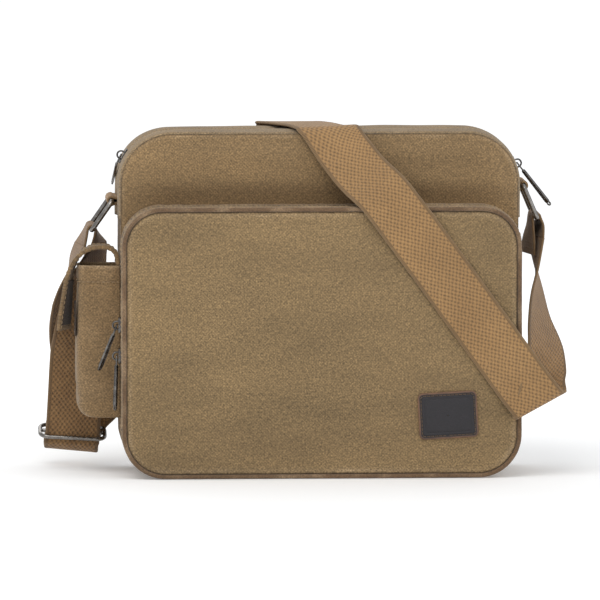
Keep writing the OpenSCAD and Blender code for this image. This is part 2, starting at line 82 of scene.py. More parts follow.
def pin(joint):
    return Vector(JOINTS[joint]["pos_m"])


def mm(*values):
    """Numbers, or rows of numbers, in millimetres as an array in metres."""
    return np.array(values, float) * MM


# Main sizes, read from the frame
SIDE = high("main_front_panel").x
TOP = high("main_front_panel").z
SEAM_Y = low("main_front_panel").y
BACK_Y = high("back_panel").y
FRONT_Y = low("pocket_panel").y
POCKET_TOP = high("pocket_piping").z
MAIN_ZIP_Y = middle("main_zip_chain").y
MAIN_ZIP_LOW = low("main_zip_chain").z
POCKET_ZIP_Y = middle("pocket_zip_chain").y
POCKET_ZIP_LOW = low("pocket_zip_chain").z
GUSSET_SPLIT = high("side_base_gusset").z
CORD_R = (high("pocket_piping").y - low("pocket_piping").y) / 2
TAB_Y = middle("left_tab").y
STRAP_W = high("left_tab").y - low("left_tab").y
CHAIN_HALF = (high("main_zip_chain").y - low("main_zip_chain").y) / 2
TAPE_W = high("main_zip_tape_front").y - low("main_zip_tape_front").y

# Sizes that the frame's boxes don't show
CANVAS_T = 1.8 * MM
STRAP_T = 2.2 * MM
TOP_CORNER = 45 * MM
BASE_CORNER = 38 * MM
POCKET_CORNER = 35 * MM


# ---- Small numeric tools --------------------------------------------------------------------

def smooth(t):
    """Smooth step from 0 to 1, for numbers and arrays."""
    t = np.clip(t, 0.0, 1.0)
    return t * t * (3 - 2 * t)


def hump(x, centre, width):
    """1 at the centre, falling smoothly to 0 at a distance of width."""
    return smooth(1 - np.abs(x - centre) / width)


def wobble(points, scale, seed):
    """One smooth noise value for each point, between about -1 and 1."""
    shift = Vector((seed * 7.31, seed * 3.17, seed * 5.53))
    flat = np.asarray(points, float).reshape(-1, 3)
    values = [noise.noise(Vector(p) * scale + shift) for p in flat]
    return np.array(values).reshape(np.shape(points)[:-1])


def unit(v):
    length = np.linalg.norm(v, axis=-1, keepdims=True)
    return v / np.maximum(length, 1e-12)


def distances(points):
    """Running length along a line of points."""
    steps = np.linalg.norm(np.diff(points, axis=0), axis=1)
    return np.concatenate([[0.0], np.cumsum(steps)])


def resample(points, count):
    """The same line with count evenly spaced points."""
    s = distances(points)
    want = np.linspace(0, s[-1], count)
    return np.stack([np.interp(want, s, points[:, k]) for k in range(points.shape[1])], axis=1)


def spline(controls, steps):
    """Smooth curve through the control rows, steps samples to each stretch."""
    p = np.asarray(controls, float)
    padded = np.vstack([p[:1], p, p[-1:]])
    out = []
    for i in range(1, len(padded) - 2):
        a, b, c, d = padded[i - 1:i + 3]
        for t in np.arange(steps) / steps:
            out.append((2 * b + (c - a) * t + (2 * a - 5 * b + 4 * c - d) * t ** 2
                        + (3 * b - a - 3 * c + d) * t ** 3) / 2)
    out.append(p[-1])
    return np.array(out)


# ---- Outlines -------------------------------------------------------------------------------

def rounded_rect(width, height, top_r, base_r, base_z, step):
    """Closed outline in X and Z, anticlockwise seen from the front, from the middle of the base."""
    half = width / 2
    corners = [(half - base_r, base_z + base_r, base_r, -90),
               (half - top_r, base_z + height - top_r, top_r, 0),
               (-half + top_r, base_z + height - top_r, top_r, 90),
               (-half + base_r, base_z + base_r, base_r, 180)]
    points = [(0.0, base_z)]
    for x, z, r, start in corners:
        for angle in np.radians(start + np.arange(0, 91, 3)):
            points.append((x + r * math.cos(angle), z + r * math.sin(angle)))
    points.append((0.0, base_z))
    line = np.array(points)
    count = int(round(distances(line)[-1] / step))
    return resample(line, count + 1)[:-1]


def outline_normals(line):
    """Outward normals of a closed anticlockwise outline in X and Z."""
    along = np.roll(line, -1, axis=0) - np.roll(line, 1, axis=0)
    return unit(np.stack([along[:, 1], -along[:, 0]], axis=1))


def body_outline(step):
    return rounded_rect(2 * SIDE, TOP, TOP_CORNER, BASE_CORNER, 0, step)


def pocket_outline(step):
    return rounded_rect(2 * SIDE, POCKET_TOP, POCKET_CORNER, BASE_CORNER, 0, step)


def edge_distance(x, z, height, top_r, base_r):
    """How far a point in X and Z lies inside the rounded outline that stands on z = 0."""
    r = np.where(z > height / 2, top_r, base_r)
    qx = np.abs(x) - (SIDE - r)
    qz = np.abs(z - height / 2) - (height / 2 - r)
    outside = np.hypot(np.maximum(qx, 0), np.maximum(qz, 0))
    return r - outside - np.minimum(np.maximum(qx, qz), 0)


# ---- Pieces ---------------------------------------------------------------------------------

def grid_weave(points):
    """Woven coordinates of a grid: across its columns, along its rows."""
    across = np.linalg.norm(np.diff(points, axis=1), axis=2).mean(axis=0)
    across = np.concatenate([[0.0], np.cumsum(across)])
    along = np.linalg.norm(np.diff(points, axis=0), axis=2).mean(axis=1)
    along = np.concatenate([[0.0], np.cumsum(along)])
    u, v = np.meshgrid(across, along)
    return np.stack([u, v, np.zeros_like(u)], axis=2)


class Piece:
    """Collects woven grids and solid blocks, and builds them as one object."""

    def __init__(self, name, material):
        self.name = name
        self.materials = [material]
        self.verts = []
        self.faces = []
        self.slots = []
        self.weave = []
        self.wear_and_shade = []

    def extend(self, points, faces, weave=None, wear_and_shade=0.0, material=None):
        """Adds points with weave, wear and painted shade, and faces in a material or the piece's
        own.
        """
        material = material or self.materials[0]
        if material not in self.materials:
            self.materials.append(material)
        start = len(self.verts)
        points = np.asarray(points, float).reshape(-1, 3)
        weave = points if weave is None else np.asarray(weave, float).reshape(-1, 3)
        wear_and_shade = np.broadcast_to(np.ravel(wear_and_shade).astype(float), len(points))
        self.verts.extend(points.tolist())
        self.faces.extend([tuple(start + k for k in f) for f in faces])
        self.slots.extend([self.materials.index(material)] * len(faces))
        self.weave.extend(weave.tolist())
        self.wear_and_shade.extend(wear_and_shade.tolist())

    def grid(self, points, ring=False, flip=False, weave=None, wear_and_shade=0.0, caps=False,
             material=None):
        """Quads over a grid of points; ring joins the last column to the first."""
        points = np.asarray(points, float)
        rows, cols = points.shape[:2]
        faces = []
        for i in range(rows - 1):
            for j in range(cols if ring else cols - 1):
                k = (j + 1) % cols
                quad = (i * cols + j, i * cols + k, (i + 1) * cols + k, (i + 1) * cols + j)
                faces.append(quad[::-1] if flip else quad)
        if caps:
            first = tuple(range(cols))
            last = tuple((rows - 1) * cols + j for j in range(cols))
            faces.append(first if flip else first[::-1])
            faces.append(last[::-1] if flip else last)
        self.extend(points, faces, grid_weave(points) if weave is None else weave, wear_and_shade, material)

    def block(self, lo, hi, place):
        """A box between two corners, moved by a matrix."""
        points = [tuple(place @ Vector((x, y, z))) for x in (lo[0], hi[0])
                  for y in (lo[1], hi[1]) for z in (lo[2], hi[2])]
        self.extend(points, [(0, 1, 3, 2), (4, 6, 7, 5), (0, 4, 5, 1), (2, 3, 7, 6),
                             (0, 2, 6, 4), (1, 5, 7, 3)])

    def tube(self, path, radius, sides, up, closed=False, squash=1.0, **options):
        """A tube round a line of points, with flat ends unless it closes into a ring."""
        self.grid(tube_grid(path, radius, sides, closed, squash, up), ring=True,
                  caps=not closed, **options)

    def build(self, body, slot, *replaces, smooth_faces=True):
        """Makes the object. body is a CAD body's name, or None for a piece put on no body."""
        mesh = bpy.data.meshes.new(self.name)
        mesh.from_pydata(self.verts, [], self.faces)
        for m in self.materials:
            mesh.materials.append(m)
        mesh.polygons.foreach_set("material_index", self.slots)
        data = mesh.attributes.new("weave", "FLOAT_VECTOR", "POINT").data
        data.foreach_set("vector", np.asarray(self.weave, float).ravel())
        data = mesh.attributes.new("wear_and_shade", "FLOAT", "POINT").data
        data.foreach_set("value", np.asarray(self.wear_and_shade, float))
        if smooth_faces:
            mesh.shade_smooth()
        mesh.update()
        obj = bpy.data.objects.new(self.name, mesh)
        scene.collection.objects.link(obj)
        if body:
            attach(obj, body)
        if replaces:
            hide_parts(*replaces)
        return obj


def thicken(obj, thickness):
    """Gives a sheet its cloth thickness, on the inner side of its outward faces."""
    solid = obj.modifiers.new("thickness", "SOLIDIFY")
    solid.thickness = thickness
    solid.offset = -1.0
    return obj


def soften(obj):
    """Rounds a mesh with one level of subdivision."""
    sub = obj.modifiers.new("soften", "SUBSURF")
    sub.levels = 1
    sub.render_levels = 1
    return obj


def chamfer(obj, width, segments):
    """Rounds the sharp edges of a solid."""
    bevel = obj.modifiers.new("edges", "BEVEL")
    bevel.width = width
    bevel.segments = segments
    bevel.limit_method = "ANGLE"
    bevel.angle_limit = math.radians(40)


def axes(along, across, normal, origin):
    """Matrix that stands local X, Y and Z on three directions."""
    return Matrix.Translation(origin) @ Matrix((along, across, normal)).transposed().to_4x4()


def path_frames(path, closed, up):
    """Directions beside and above a line of points, without twist."""
    if closed:
        along = unit(np.roll(path, -1, axis=0) - np.roll(path, 1, axis=0))
    else:
        along = unit(np.gradient(path, axis=0))
    side = np.cross(along[0], up)
    if np.linalg.norm(side) < 1e-3:
        side = np.cross(along[0], (1, 0, 0))
    beside = []
    for t in along:
        side = side - t * side.dot(t)
        side = side / np.linalg.norm(side)
        beside.append(side)
    beside = np.array(beside)
    return beside, np.cross(beside, along)


def tube_grid(path, radius, sides, closed, squash, up):
    """Rings of points round a line; radius is a number or one value for each point."""
    beside, above = path_frames(path, closed, up)
    angles = np.linspace(0, 2 * math.pi, sides, endpoint=False)
    radius = np.broadcast_to(radius, len(path))[:, None, None]
    ring = (np.cos(angles)[None, :, None] * beside[:, None, :]
            + np.sin(angles)[None, :, None] * squash * above[:, None, :])
    points = path[:, None, :] + radius * ring
    return np.concatenate([points, points[:1]], axis=0) if closed else points


def stitches(piece, path, normals, material, length=3.2 * MM, pause=1.2 * MM, thread=0.4 * MM):
    """A row of thread stitches that dip into the cloth at both ends."""
    s = distances(path)
    pitch = length + pause
    profile = np.array([-0.9, 0.3, 0.55, 0.3, -0.9])[:, None] * thread
    for k in range(int(s[-1] / pitch)):
        at = np.linspace(0, length, len(profile)) + k * pitch + pause / 2
        line = np.stack([np.interp(at, s, path[:, a]) for a in range(3)], axis=1)
        out = np.stack([np.interp(at, s, normals[:, a]) for a in range(3)], axis=1)
        piece.tube(line + out * profile, thread, 5, up=out[2], material=material)


# ---- Materials ------------------------------------------------------------------------------

def srgb(r, g, b):
    """Scene colour of a display colour given as 0 to 255."""
    def linear(c):
        c = c / 255
        return c / 12.92 if c <= 0.04045 else ((c + 0.055) / 1.055) ** 2.4
    return (linear(r), linear(g), linear(b), 1.0)


class Shader:
    """Builds one node material; each step adds a node and gives back its output socket."""

    def __init__(self, name, rough=0.85, metal=0.0, sheen=0.0):
        self.mat = bpy.data.materials.new(name)
        self.mat.use_nodes = True
        self.nodes = self.mat.node_tree.nodes
        self.links = self.mat.node_tree.links
        self.out = self.nodes["Principled BSDF"]
        self.out.inputs["Metallic"].default_value = metal
        self.out.inputs["Roughness"].default_value = rough
        self.out.inputs["Sheen Weight"].default_value = sheen
        self.out.inputs["Sheen Roughness"].default_value = 0.6

    def feed(self, socket, value):
        """Links an input socket to an output, or gives it a value."""
        if isinstance(value, bpy.types.NodeSocket):
            self.links.new(value, socket)
        else:
            socket.default_value = value

    def math(self, operation, a, b=0.0, c=0.0):
        node = self.nodes.new("ShaderNodeMath")
        node.operation = operation
        for socket, value in zip(node.inputs, (a, b, c)):
            self.feed(socket, value)
        return node.outputs[0]

    def times(self, value, *others):
        """Product of two or more values."""
        for other in others:
            value = self.math("MULTIPLY", value, other)
        return value

    def plus(self, a, b):
        return self.math("ADD", a, b)

    def half_up(self, value):
        """A value between -1 and 1, moved to between 0 and 1."""
        return self.math("MULTIPLY_ADD", value, 0.5, 0.5)

    def sine(self, value, length):
        """Sine wave over a value, by its wave length."""
        return self.math("SINE", self.times(value, 2 * math.pi / length))

    def spread(self, noise_value, lo, hi):
        """The middle of a noise's range, stretched to between lo and hi."""
        return self.remap(noise_value, 0.3, 0.7, lo, hi)

    def attribute(self, name, output):
        node = self.nodes.new("ShaderNodeAttribute")
        node.attribute_name = name
        return node.outputs[output]

    def cloth(self):
        """The woven coordinate of a cloth, and its parts across and along the threads."""
        weave = self.attribute("weave", "Vector")
        node = self.nodes.new("ShaderNodeSeparateXYZ")
        self.links.new(weave, node.inputs[0])
        return weave, node.outputs[0], node.outputs[1]

    def place(self):
        return self.nodes.new("ShaderNodeTexCoord").outputs["Object"]

    def stretch(self, vector, scale):
        node = self.nodes.new("ShaderNodeMapping")
        self.links.new(vector, node.inputs["Vector"])
        node.inputs["Scale"].default_value = scale
        return node.outputs[0]

    def noise(self, vector, scale, detail=3.0, rough=0.55):
        node = self.nodes.new("ShaderNodeTexNoise")
        self.links.new(vector, node.inputs["Vector"])
        node.inputs["Scale"].default_value = scale
        node.inputs["Detail"].default_value = detail
        node.inputs["Roughness"].default_value = rough
        return node.outputs[0]

    def cells(self, vector, scale, feature="F1"):
        node = self.nodes.new("ShaderNodeTexVoronoi")
        node.feature = feature
        self.links.new(vector, node.inputs["Vector"])
        node.inputs["Scale"].default_value = scale
        return node.outputs["Distance"]

    def remap(self, value, from_lo, from_hi, to_lo, to_hi):
        node = self.nodes.new("ShaderNodeMapRange")
        for socket, v in zip(node.inputs, (value, from_lo, from_hi, to_lo, to_hi)):
            self.feed(socket, v)
        return node.outputs[0]

    def mix(self, factor, a, b):
        node = self.nodes.new("ShaderNodeMix")
        node.data_type = "RGBA"
        self.feed(node.inputs[0], factor)
        self.feed(node.inputs[6], a)
        self.feed(node.inputs[7], b)
        return node.outputs[2]

    def tint(self, colour, factor):
        """The colour made brighter or darker by a factor."""
        node = self.nodes.new("ShaderNodeVectorMath")
        node.operation = "SCALE"
        self.feed(node.inputs[0], colour if isinstance(colour, bpy.types.NodeSocket)
                  else colour[:3])
        self.feed(node.inputs["Scale"], factor)
        return node.outputs[0]

    def finish(self, colour, height, depth, rough=None):
        """Sets the colour and a bump of a real depth, and gives back the material."""
        self.feed(self.out.inputs["Base Color"], colour)
        if rough is not None:
            self.feed(self.out.inputs["Roughness"], rough)
        bump = self.nodes.new("ShaderNodeBump")
        bump.inputs["Strength"].default_value = 1.0
        bump.inputs["Distance"].default_value = depth
        self.links.new(height, bump.inputs["Height"])
        self.links.new(bump.outputs[0], self.out.inputs["Normal"])
        return self.mat


def worn_and_shaded(s, tone, pale, dark):
    """Tone paler where rubbed, darker at painted shade and dark patches, by "wear_and_shade"."""
    wear_and_shade = s.attribute("wear_and_shade", "Fac")
    patchy = s.spread(s.noise(s.place(), 90.0), 0.55, 1.25)
    up = s.times(s.math("MAXIMUM", wear_and_shade, 0.0), patchy)
    down = s.times(s.math("MAXIMUM", s.times(wear_and_shade, -1.0), 0.0), patchy)
    return s.mix(down, s.mix(up, srgb(*tone), srgb(*pale)), srgb(*dark))


def canvas(name, tone, pitch=1.5 * MM, contrast=1.0):
    """Washed cotton canvas: plain weave, slubs along both threads, mottling and rubbed edges."""
    s = Shader(name, rough=0.92, sheen=0.12)
    weave, u, v = s.cloth()
    threads = s.half_up(s.times(s.sine(u, 2 * pitch), s.sine(v, 2 * pitch)))
    warp = s.noise(s.stretch(weave, (700.0, 260.0, 1.0)), 1.0, 2.0)
    weft = s.noise(s.stretch(weave, (260.0, 700.0, 1.0)), 1.0, 2.0)
    slub = s.plus(warp, weft)
    speck = s.noise(weave, 620.0, 3.0, 0.75)
    mottle = s.noise(s.stretch(s.place(), (9.0, 9.0, 22.0)), 1.0, 6.0, 0.62)
    shade = s.times(s.remap(slub, 0.7, 1.3, 1 - 0.3 * contrast, 1 + 0.3 * contrast),
                    s.spread(mottle, 1 - 0.2 * contrast, 1 + 0.17 * contrast),
                    s.spread(speck, 0.5, 1.48),
                    s.remap(threads, 0.0, 1.0, 0.84, 1.12))
    colour = s.tint(worn_and_shaded(s, tone, (176, 152, 120), (74, 58, 40)), shade)
    height = s.plus(s.plus(s.times(threads, 0.55), s.times(slub, 0.6)), s.times(speck, 0.35))
    return s.finish(colour, height, 0.34 * MM)


def webbing(name, tone, pale, dark):
    """Heavy cotton webbing: lumps on a diamond lattice, with a ribbed selvedge."""
    s = Shader(name, rough=0.88, sheen=0.15)
    weave, u, v = s.cloth()
    turn = 2 * math.pi / (4.0 * MM)
    stray = s.spread(s.noise(weave, 240.0, 2.0), -0.5 * MM, 0.5 * MM)
    columns = s.math("COSINE", s.times(s.plus(u, stray), turn))
    rows = s.math("COSINE", s.times(s.plus(v, stray), turn * 0.8))
    lump = s.math("POWER", s.half_up(s.times(columns, rows)), 0.45)
    rib = s.math("ABSOLUTE", s.sine(v, 2.0 * MM))
    fuzz = s.noise(weave, 700.0, 3.0, 0.7)
    mottle = s.noise(s.place(), 40.0, 4.0)
    edge = s.remap(s.math("ABSOLUTE", u), STRAP_W / 2 - 3.2 * MM, STRAP_W / 2 - 2.6 * MM, 0.0, 1.0)
    relief = s.plus(s.times(lump, s.math("SUBTRACT", 1.0, edge)), s.times(rib, 0.6, edge))
    shade = s.times(s.remap(relief, 0.0, 1.0, 0.25, 1.2), s.spread(fuzz, 0.88, 1.12),
                    s.spread(mottle, 0.92, 1.08))
    colour = s.tint(worn_and_shaded(s, tone, pale, dark), shade)
    return s.finish(colour, s.plus(relief, s.times(fuzz, 0.35)), 0.75 * MM)


def tape(name, tone):
    """Zip tape: a close herringbone."""
    s = Shader(name, rough=0.8, sheen=0.1)
    weave, u, v = s.cloth()
    rib = s.half_up(s.sine(s.plus(s.math("PINGPONG", u, 1.6 * MM), v), 0.7 * MM))
    fuzz = s.noise(weave, 900.0, 3.0, 0.7)
    shade = s.times(s.remap(rib, 0.0, 1.0, 0.82, 1.1), s.spread(fuzz, 0.85, 1.15))
    colour = s.tint(worn_and_shaded(s, tone, (168, 140, 118), (48, 36, 28)), shade)
    return s.finish(colour, s.plus(rib, fuzz), 0.2 * MM)


def hooks(name, tone):
    """Hook or loop tape: a dense nap of small tufts."""
    s = Shader(name, rough=0.95, sheen=0.1)
    weave = s.attribute("weave", "Vector")
    tufts = s.cells(weave, 900.0)
    fuzz = s.noise(weave, 1500.0, 2.0)
    shade = s.times(s.remap(tufts, 0.0, 0.8, 1.25, 0.6), s.spread(fuzz, 0.8, 1.2))
    return s.finish(s.tint(srgb(*tone), shade), s.math("SUBTRACT", fuzz, tufts), 0.6 * MM)


def thread(name, tone):
    """Waxed sewing thread: a two-ply twist with dust in it."""
    s = Shader(name, rough=0.7)
    _, _, v = s.cloth()
    twist = s.half_up(s.sine(v, 0.9 * MM))
    fuzz = s.noise(s.place(), 600.0)
    shade = s.times(s.remap(twist, 0.0, 1.0, 0.82, 1.08), s.spread(fuzz, 0.85, 1.1))
    return s.finish(s.tint(srgb(*tone), shade), twist, 0.15 * MM)


def metal(name, tone, bright, rough):
    """Plated wire or casting: clouded plating, hairline scratches and bright worn spots."""
    s = Shader(name, metal=1.0)
    place = s.place()
    cloud = s.noise(place, 160.0, 4.0, 0.6)
    hair = s.noise(s.stretch(place, (220.0, 2600.0, 900.0)), 1.0, 2.0)
    pits = s.cells(place, 1400.0)
    rubbed = s.remap(cloud, 0.45, 0.7, 0.0, 0.4)
    colour = s.tint(s.mix(rubbed, srgb(*tone), srgb(*bright)), s.spread(hair, 0.93, 1.06))
    height = s.plus(s.times(hair, 0.5), s.times(pits, 0.3))
    return s.finish(colour, height, 0.015 * MM,
                    s.remap(s.plus(cloud, hair), 0.7, 1.3, rough - 0.1, rough + 0.16))


def leather(name, tone, edge):
    """Dark pull-up leather: pebbled grain, creases, cloudy wax and a paler raw edge."""
    s = Shader(name, rough=0.5)
    place = s.place()
    pebble = s.cells(place, 900.0)
    crease = s.cells(s.stretch(place, (1.0, 1.0, 1.7)), 260.0, "DISTANCE_TO_EDGE")
    cloud = s.noise(place, 120.0, 5.0, 0.65)
    shade = s.times(s.spread(cloud, 0.75, 1.3), s.remap(pebble, 0.0, 0.7, 1.1, 0.85))
    colour = s.tint(worn_and_shaded(s, tone, edge, (22, 18, 18)), shade)
    height = s.plus(s.times(pebble, -0.6), s.remap(crease, 0.0, 0.08, 0.0, 0.6))
    return s.finish(colour, height, 0.22 * MM, s.spread(cloud, 0.42, 0.62))


def foam(name, tone):
    """Open-cell foam board."""
    s = Shader(name, rough=0.95)
    pores = s.cells(s.place(), 700.0)
    shade = s.remap(pores, 0.0, 0.7, 0.65, 1.1)
    return s.finish(s.tint(srgb(*tone), shade), pores, 0.4 * MM)


CANVAS = canvas("canvas", (130, 107, 73))
CANVAS_SIDE = canvas("canvas_side", (130, 105, 72))
CANVAS_UPPER = canvas("canvas_upper", (129, 104, 70))
PIPING = canvas("piping_cloth", (108, 83, 58), pitch=0.8 * MM, contrast=0.6)
WEBBING = webbing("strap_webbing", (152, 117, 74), (190, 154, 106), (92, 62, 34))
WEBBING_TAIL = webbing("pale_webbing", (168, 136, 97), (190, 160, 120), (110, 82, 54))
ZIP_TAPE = tape("zip_tape", (92, 72, 58))
LINING = canvas("lining_cloth", (96, 88, 74), pitch=0.6 * MM, contrast=0.6)
HOOKS = hooks("hook_and_loop", (60, 44, 30))
THREAD = thread("thread", (172, 146, 112))
THREAD_DARK = thread("dark_thread", (98, 80, 64))
ZIP_METAL = metal("zip_teeth", (92, 84, 76), (150, 140, 126), 0.38)
GUNMETAL = metal("gunmetal", (92, 89, 87), (176, 172, 166), 0.26)
WIRE = metal("bright_wire", (124, 120, 116), (196, 192, 186), 0.22)
LEATHER = leather("patch_leather", (35, 32, 36), (118, 86, 64))
FOAM = foam("foam_board", (222, 216, 198))


# ---- Panels ---------------------------------------------------------------------------------

FILL_RINGS = 46           # rings between the seam's profile and the middle of a panel

# Rows of a panel from its seam inwards: inset, and push back from the surface
FRONT_PROFILE = mm((1.4, 2.3), (0.5, 1.7), (0.15, 0.9), (0.7, 0.15), (2.0, -0.15), (3.6, -0.2),
                   (5.5, -0.1), (8, 0), (12, 0), (17, 0), (24, 0), (32, 0))
PIPED_PROFILE = mm((3.4, 3.0), (3.9, 1.9), (4.6, 0.9), (5.6, 0.3), (7, 0), (9, 0), (12, 0), (16, 0),
                   (21, 0), (27, 0), (33, 0))


def main_front_y(x, z):
    """Front panel: flat behind the pocket, softly crowned above it and pulled in at its top."""
    d = edge_distance(x, z, TOP, TOP_CORNER, BASE_CORNER)
    above = smooth((z - POCKET_TOP + 2 * MM) / (24 * MM))
    crown = above * smooth(d / (20 * MM)) * 5.5 * MM
    return SEAM_Y - crown


def back_y(x, z):
    """Back panel: one broad shallow crown."""
    d = edge_distance(x, z, TOP, TOP_CORNER, BASE_CORNER)
    return BACK_Y - 0.6 * MM + smooth((d - 4 * MM) / (60 * MM)) * 3.0 * MM


def pocket_y(x, z):
    """Pocket panel: low behind the piping, then nearly flat with a slight crown."""
    d = edge_distance(x, z, POCKET_TOP, POCKET_CORNER, BASE_CORNER)
    crown = smooth((d - 4 * MM) / (46 * MM)) * 2.2 * MM
    sag = hump(z, 70 * MM, 90 * MM) * smooth(d / (50 * MM)) * 0.8 * MM
    return FRONT_Y + 0.7 * MM - crown - sag


def wrinkled(x, z, seed, edge):
    """Ripple of a panel: broad waves, finer creases and puckers along its seams."""
    place = np.stack([x, np.zeros_like(x), z], axis=-1)
    broad = wobble(place, 16.0, seed) * 1.1 * MM
    creases = wobble(place * np.array([0.4, 1.0, 1.6]), 30.0, seed + 7) * 0.6 * MM
    fine = wobble(place * np.array([1.0, 1.0, 0.45]), 60.0, seed + 1) * 0.45 * MM
    pucker = wobble(place, 130.0, seed + 2) * 1.0 * MM * smooth(1 - edge / (16 * MM))
    return ((broad + creases + fine) * smooth(edge / (14 * MM))
            + pucker * smooth(edge / (1.5 * MM)))


def panel(name, material, outline, height, corners, profile, surface, facing, seed):
    """Sewn panel: rings that follow its outline, rolled in at the seam by the profile.

    profile holds (inset, push back from the surface) pairs: its second row is the sewn line and
    its fifth the edge that rubs. surface gives the panel's Y.
    """
    sewn_line, rubbed_edge = profile[1][0], profile[4][0]
    normals = outline_normals(outline)
    centre = np.array([0.0, height / 2])
    rings = [(outline - normals * inset, back) for inset, back in profile]
    inner = rings[-1][0]
    for t in np.linspace(0, 1, FILL_RINGS)[1:-1]:
        rings.append((inner + (centre - inner) * t, 0.0))
    points = []
    weave = []
    wear_and_shade = []
    for ring, back in rings:
        x, z = ring[:, 0], ring[:, 1]
        d = edge_distance(x, z, height, *corners)
        y = surface(x, z) + facing * (wrinkled(x, z, seed, d) - back)
        points.append(np.stack([x, y, z], axis=1))
        weave.append(np.stack([x, z, np.zeros_like(x)], axis=1))
        rub = np.clip(wobble(points[-1], 45.0, seed + 5), 0, 1)
        # painted shade: the sewn line is darkened as the shadow in the seam's groove
        darkening = 0.9 * smooth(1 - np.abs(d - sewn_line) / (1.6 * MM))
        wear_and_shade.append(0.4 * hump(d, rubbed_edge, 3 * MM) * (0.4 + rub) - darkening)
    piece = Piece(name, material)
    piece.grid(np.array(points), ring=True, flip=facing > 0, weave=np.array(weave),
               wear_and_shade=np.array(wear_and_shade))
    cap = len(piece.verts)
    count = len(outline)
    piece.extend([[centre[0], float(surface(centre[0], centre[1])), centre[1]]], [],
                 weave=[[centre[0], centre[1], 0.0]])
    for j in range(count):
        tri = (cap - count + j, cap - count + (j + 1) % count, cap)
        piece.faces.append(tri[::-1] if facing > 0 else tri)
        piece.slots.append(0)
    return piece


def make_panels():
    """The three big panels."""
    body, body_corners = body_outline(2 * MM), (TOP_CORNER, BASE_CORNER)
    pocket, pocket_corners = pocket_outline(2 * MM), (POCKET_CORNER, BASE_CORNER)
    for node, material, outline, height, corners, profile, surface, facing, seed in (
            ("main_front_panel", CANVAS_UPPER, body, TOP, body_corners, FRONT_PROFILE,
             main_front_y, -1, 11),
            ("back_panel", CANVAS, body, TOP, body_corners, PIPED_PROFILE, back_y, 1, 23),
            ("pocket_panel", CANVAS, pocket, POCKET_TOP, pocket_corners, PIPED_PROFILE,
             pocket_y, -1, 37)):
        piece = panel(f"{node}_cloth", material, outline, height, corners, profile, surface,
                      facing, seed)
        thicken(piece.build("root", "canvas", node), CANVAS_T)


def piping(name, outline, y, node):
    """Cord in bias-cut cloth round an outline, with the stitched flange's small dents."""
    line = outline - outline_normals(outline) * CORD_R
    path = np.stack([line[:, 0], np.full(len(line), y), line[:, 1]], axis=1)
    radius = CORD_R * (1.0 + 0.06 * wobble(path, 160.0, 3) + 0.04 * wobble(path, 420.0, 4))
    piece = Piece(name, PIPING)
    grid = tube_grid(path, radius, 14, True, 1.0, (0, 1, 0))
    weave = grid_weave(grid)
    bias = np.stack([weave[..., 0] + weave[..., 1], weave[..., 1] - weave[..., 0],
                     weave[..., 2]], axis=2) / math.sqrt(2)
    rub = np.clip(wobble(grid, 60.0, 9), -0.2, 1)
    piece.grid(grid, ring=True, weave=bias, wear_and_shade=0.6 * rub)
    soften(piece.build("root", "piping", node))


# ---- Gussets --------------------------------------------------------------------------------

def between(outline, above=None, below=None):
    """The stretch of a closed outline above a height, or below it, as one open line with normals.

    It is cut exactly at the height.
    """
    normals = outline_normals(outline)
    level = above if above is not None else below
    inside = outline[:, 1] > level if above is not None else outline[:, 1] < level
    first = next(i for i in range(len(outline)) if inside[i] and not inside[i - 1])
    order = [(first + k) % len(outline) for k in range(int(inside.sum()))]
    line, out = outline[order], normals[order]
    ends = []
    for end, beyond in ((order[0], (order[0] - 1) % len(outline)),
                        (order[-1], (order[-1] + 1) % len(outline))):
        t = (level - outline[end, 1]) / (outline[beyond, 1] - outline[end, 1])
        ends.append((outline[end] + (outline[beyond] - outline[end]) * t, normals[end]))
    line = np.vstack([ends[0][0], line, ends[1][0]])
    out = np.vstack([ends[0][1], out, ends[1][1]])
    return line, out


def strip_grid(line, out, levels, lift):
    """Grid over a strip that follows an outline: levels are the Y of its columns and lift gives
    how far each point stands off the outline."""
    s = distances(line)
    rows = []
    weave = []
    for k in range(len(line)):
        rise = lift(levels, line[k])
        rows.append(np.stack([line[k, 0] + out[k, 0] * rise, levels,
                              line[k, 1] + out[k, 1] * rise], axis=1))
        weave.append(np.stack([levels, np.full_like(levels, s[k]), np.zeros_like(levels)], axis=1))
    return np.array(rows), np.array(weave)


def strip_levels(y0, y1):
    """Columns of a strip, closer together at both seams."""
    count = max(6, int((y1 - y0) / (2.2 * MM)))
    edges = np.array([0.0, 0.5, 1.2, 2.2]) * MM
    inner = np.linspace(y0 + 3.4 * MM, y1 - 3.4 * MM, count)
    return np.concatenate([y0 + edges, inner, y1 - edges[::-1]])


def gusset_lift(y0, y1, seed, sag, seam_lo, seam_hi):
    """Height of a gusset over its outline: a seam or a fold on each edge, a sag and puckers.

    seam_lo and seam_hi are "seam" for an edge rolled into a seam and "fold" for a folded edge
    that lies over a zip tape.
    """
    def edge(kind, d):
        if kind == "seam":
            return -1.5 * MM * smooth(1 - d / (1.6 * MM)) + 0.25 * MM * hump(d, 3 * MM, 3 * MM)
        return -0.5 * MM * smooth(1 - d / (0.6 * MM)) + 0.45 * MM * smooth(1 - d / (5 * MM))

    def lift(y, at):
        t = (y - y0) / (y1 - y0)
        place = np.stack([np.full_like(y, at[0]), y, np.full_like(y, at[1])], axis=1)
        d_lo, d_hi = y - y0, y1 - y
        broad = wobble(place, 22.0, seed) * 1.0 * MM * 4 * t * (1 - t)
        pucker = wobble(place * np.array([1, 0.35, 1]), 120.0, seed + 3) * 0.55 * MM
        near = smooth(1 - np.minimum(d_lo, d_hi) / (14 * MM))
        return (broad + pucker * near * smooth(np.minimum(d_lo, d_hi) / (1.2 * MM))
                - sag * 4 * t * (1 - t) + edge(seam_lo, d_lo) + edge(seam_hi, d_hi))
    return lift


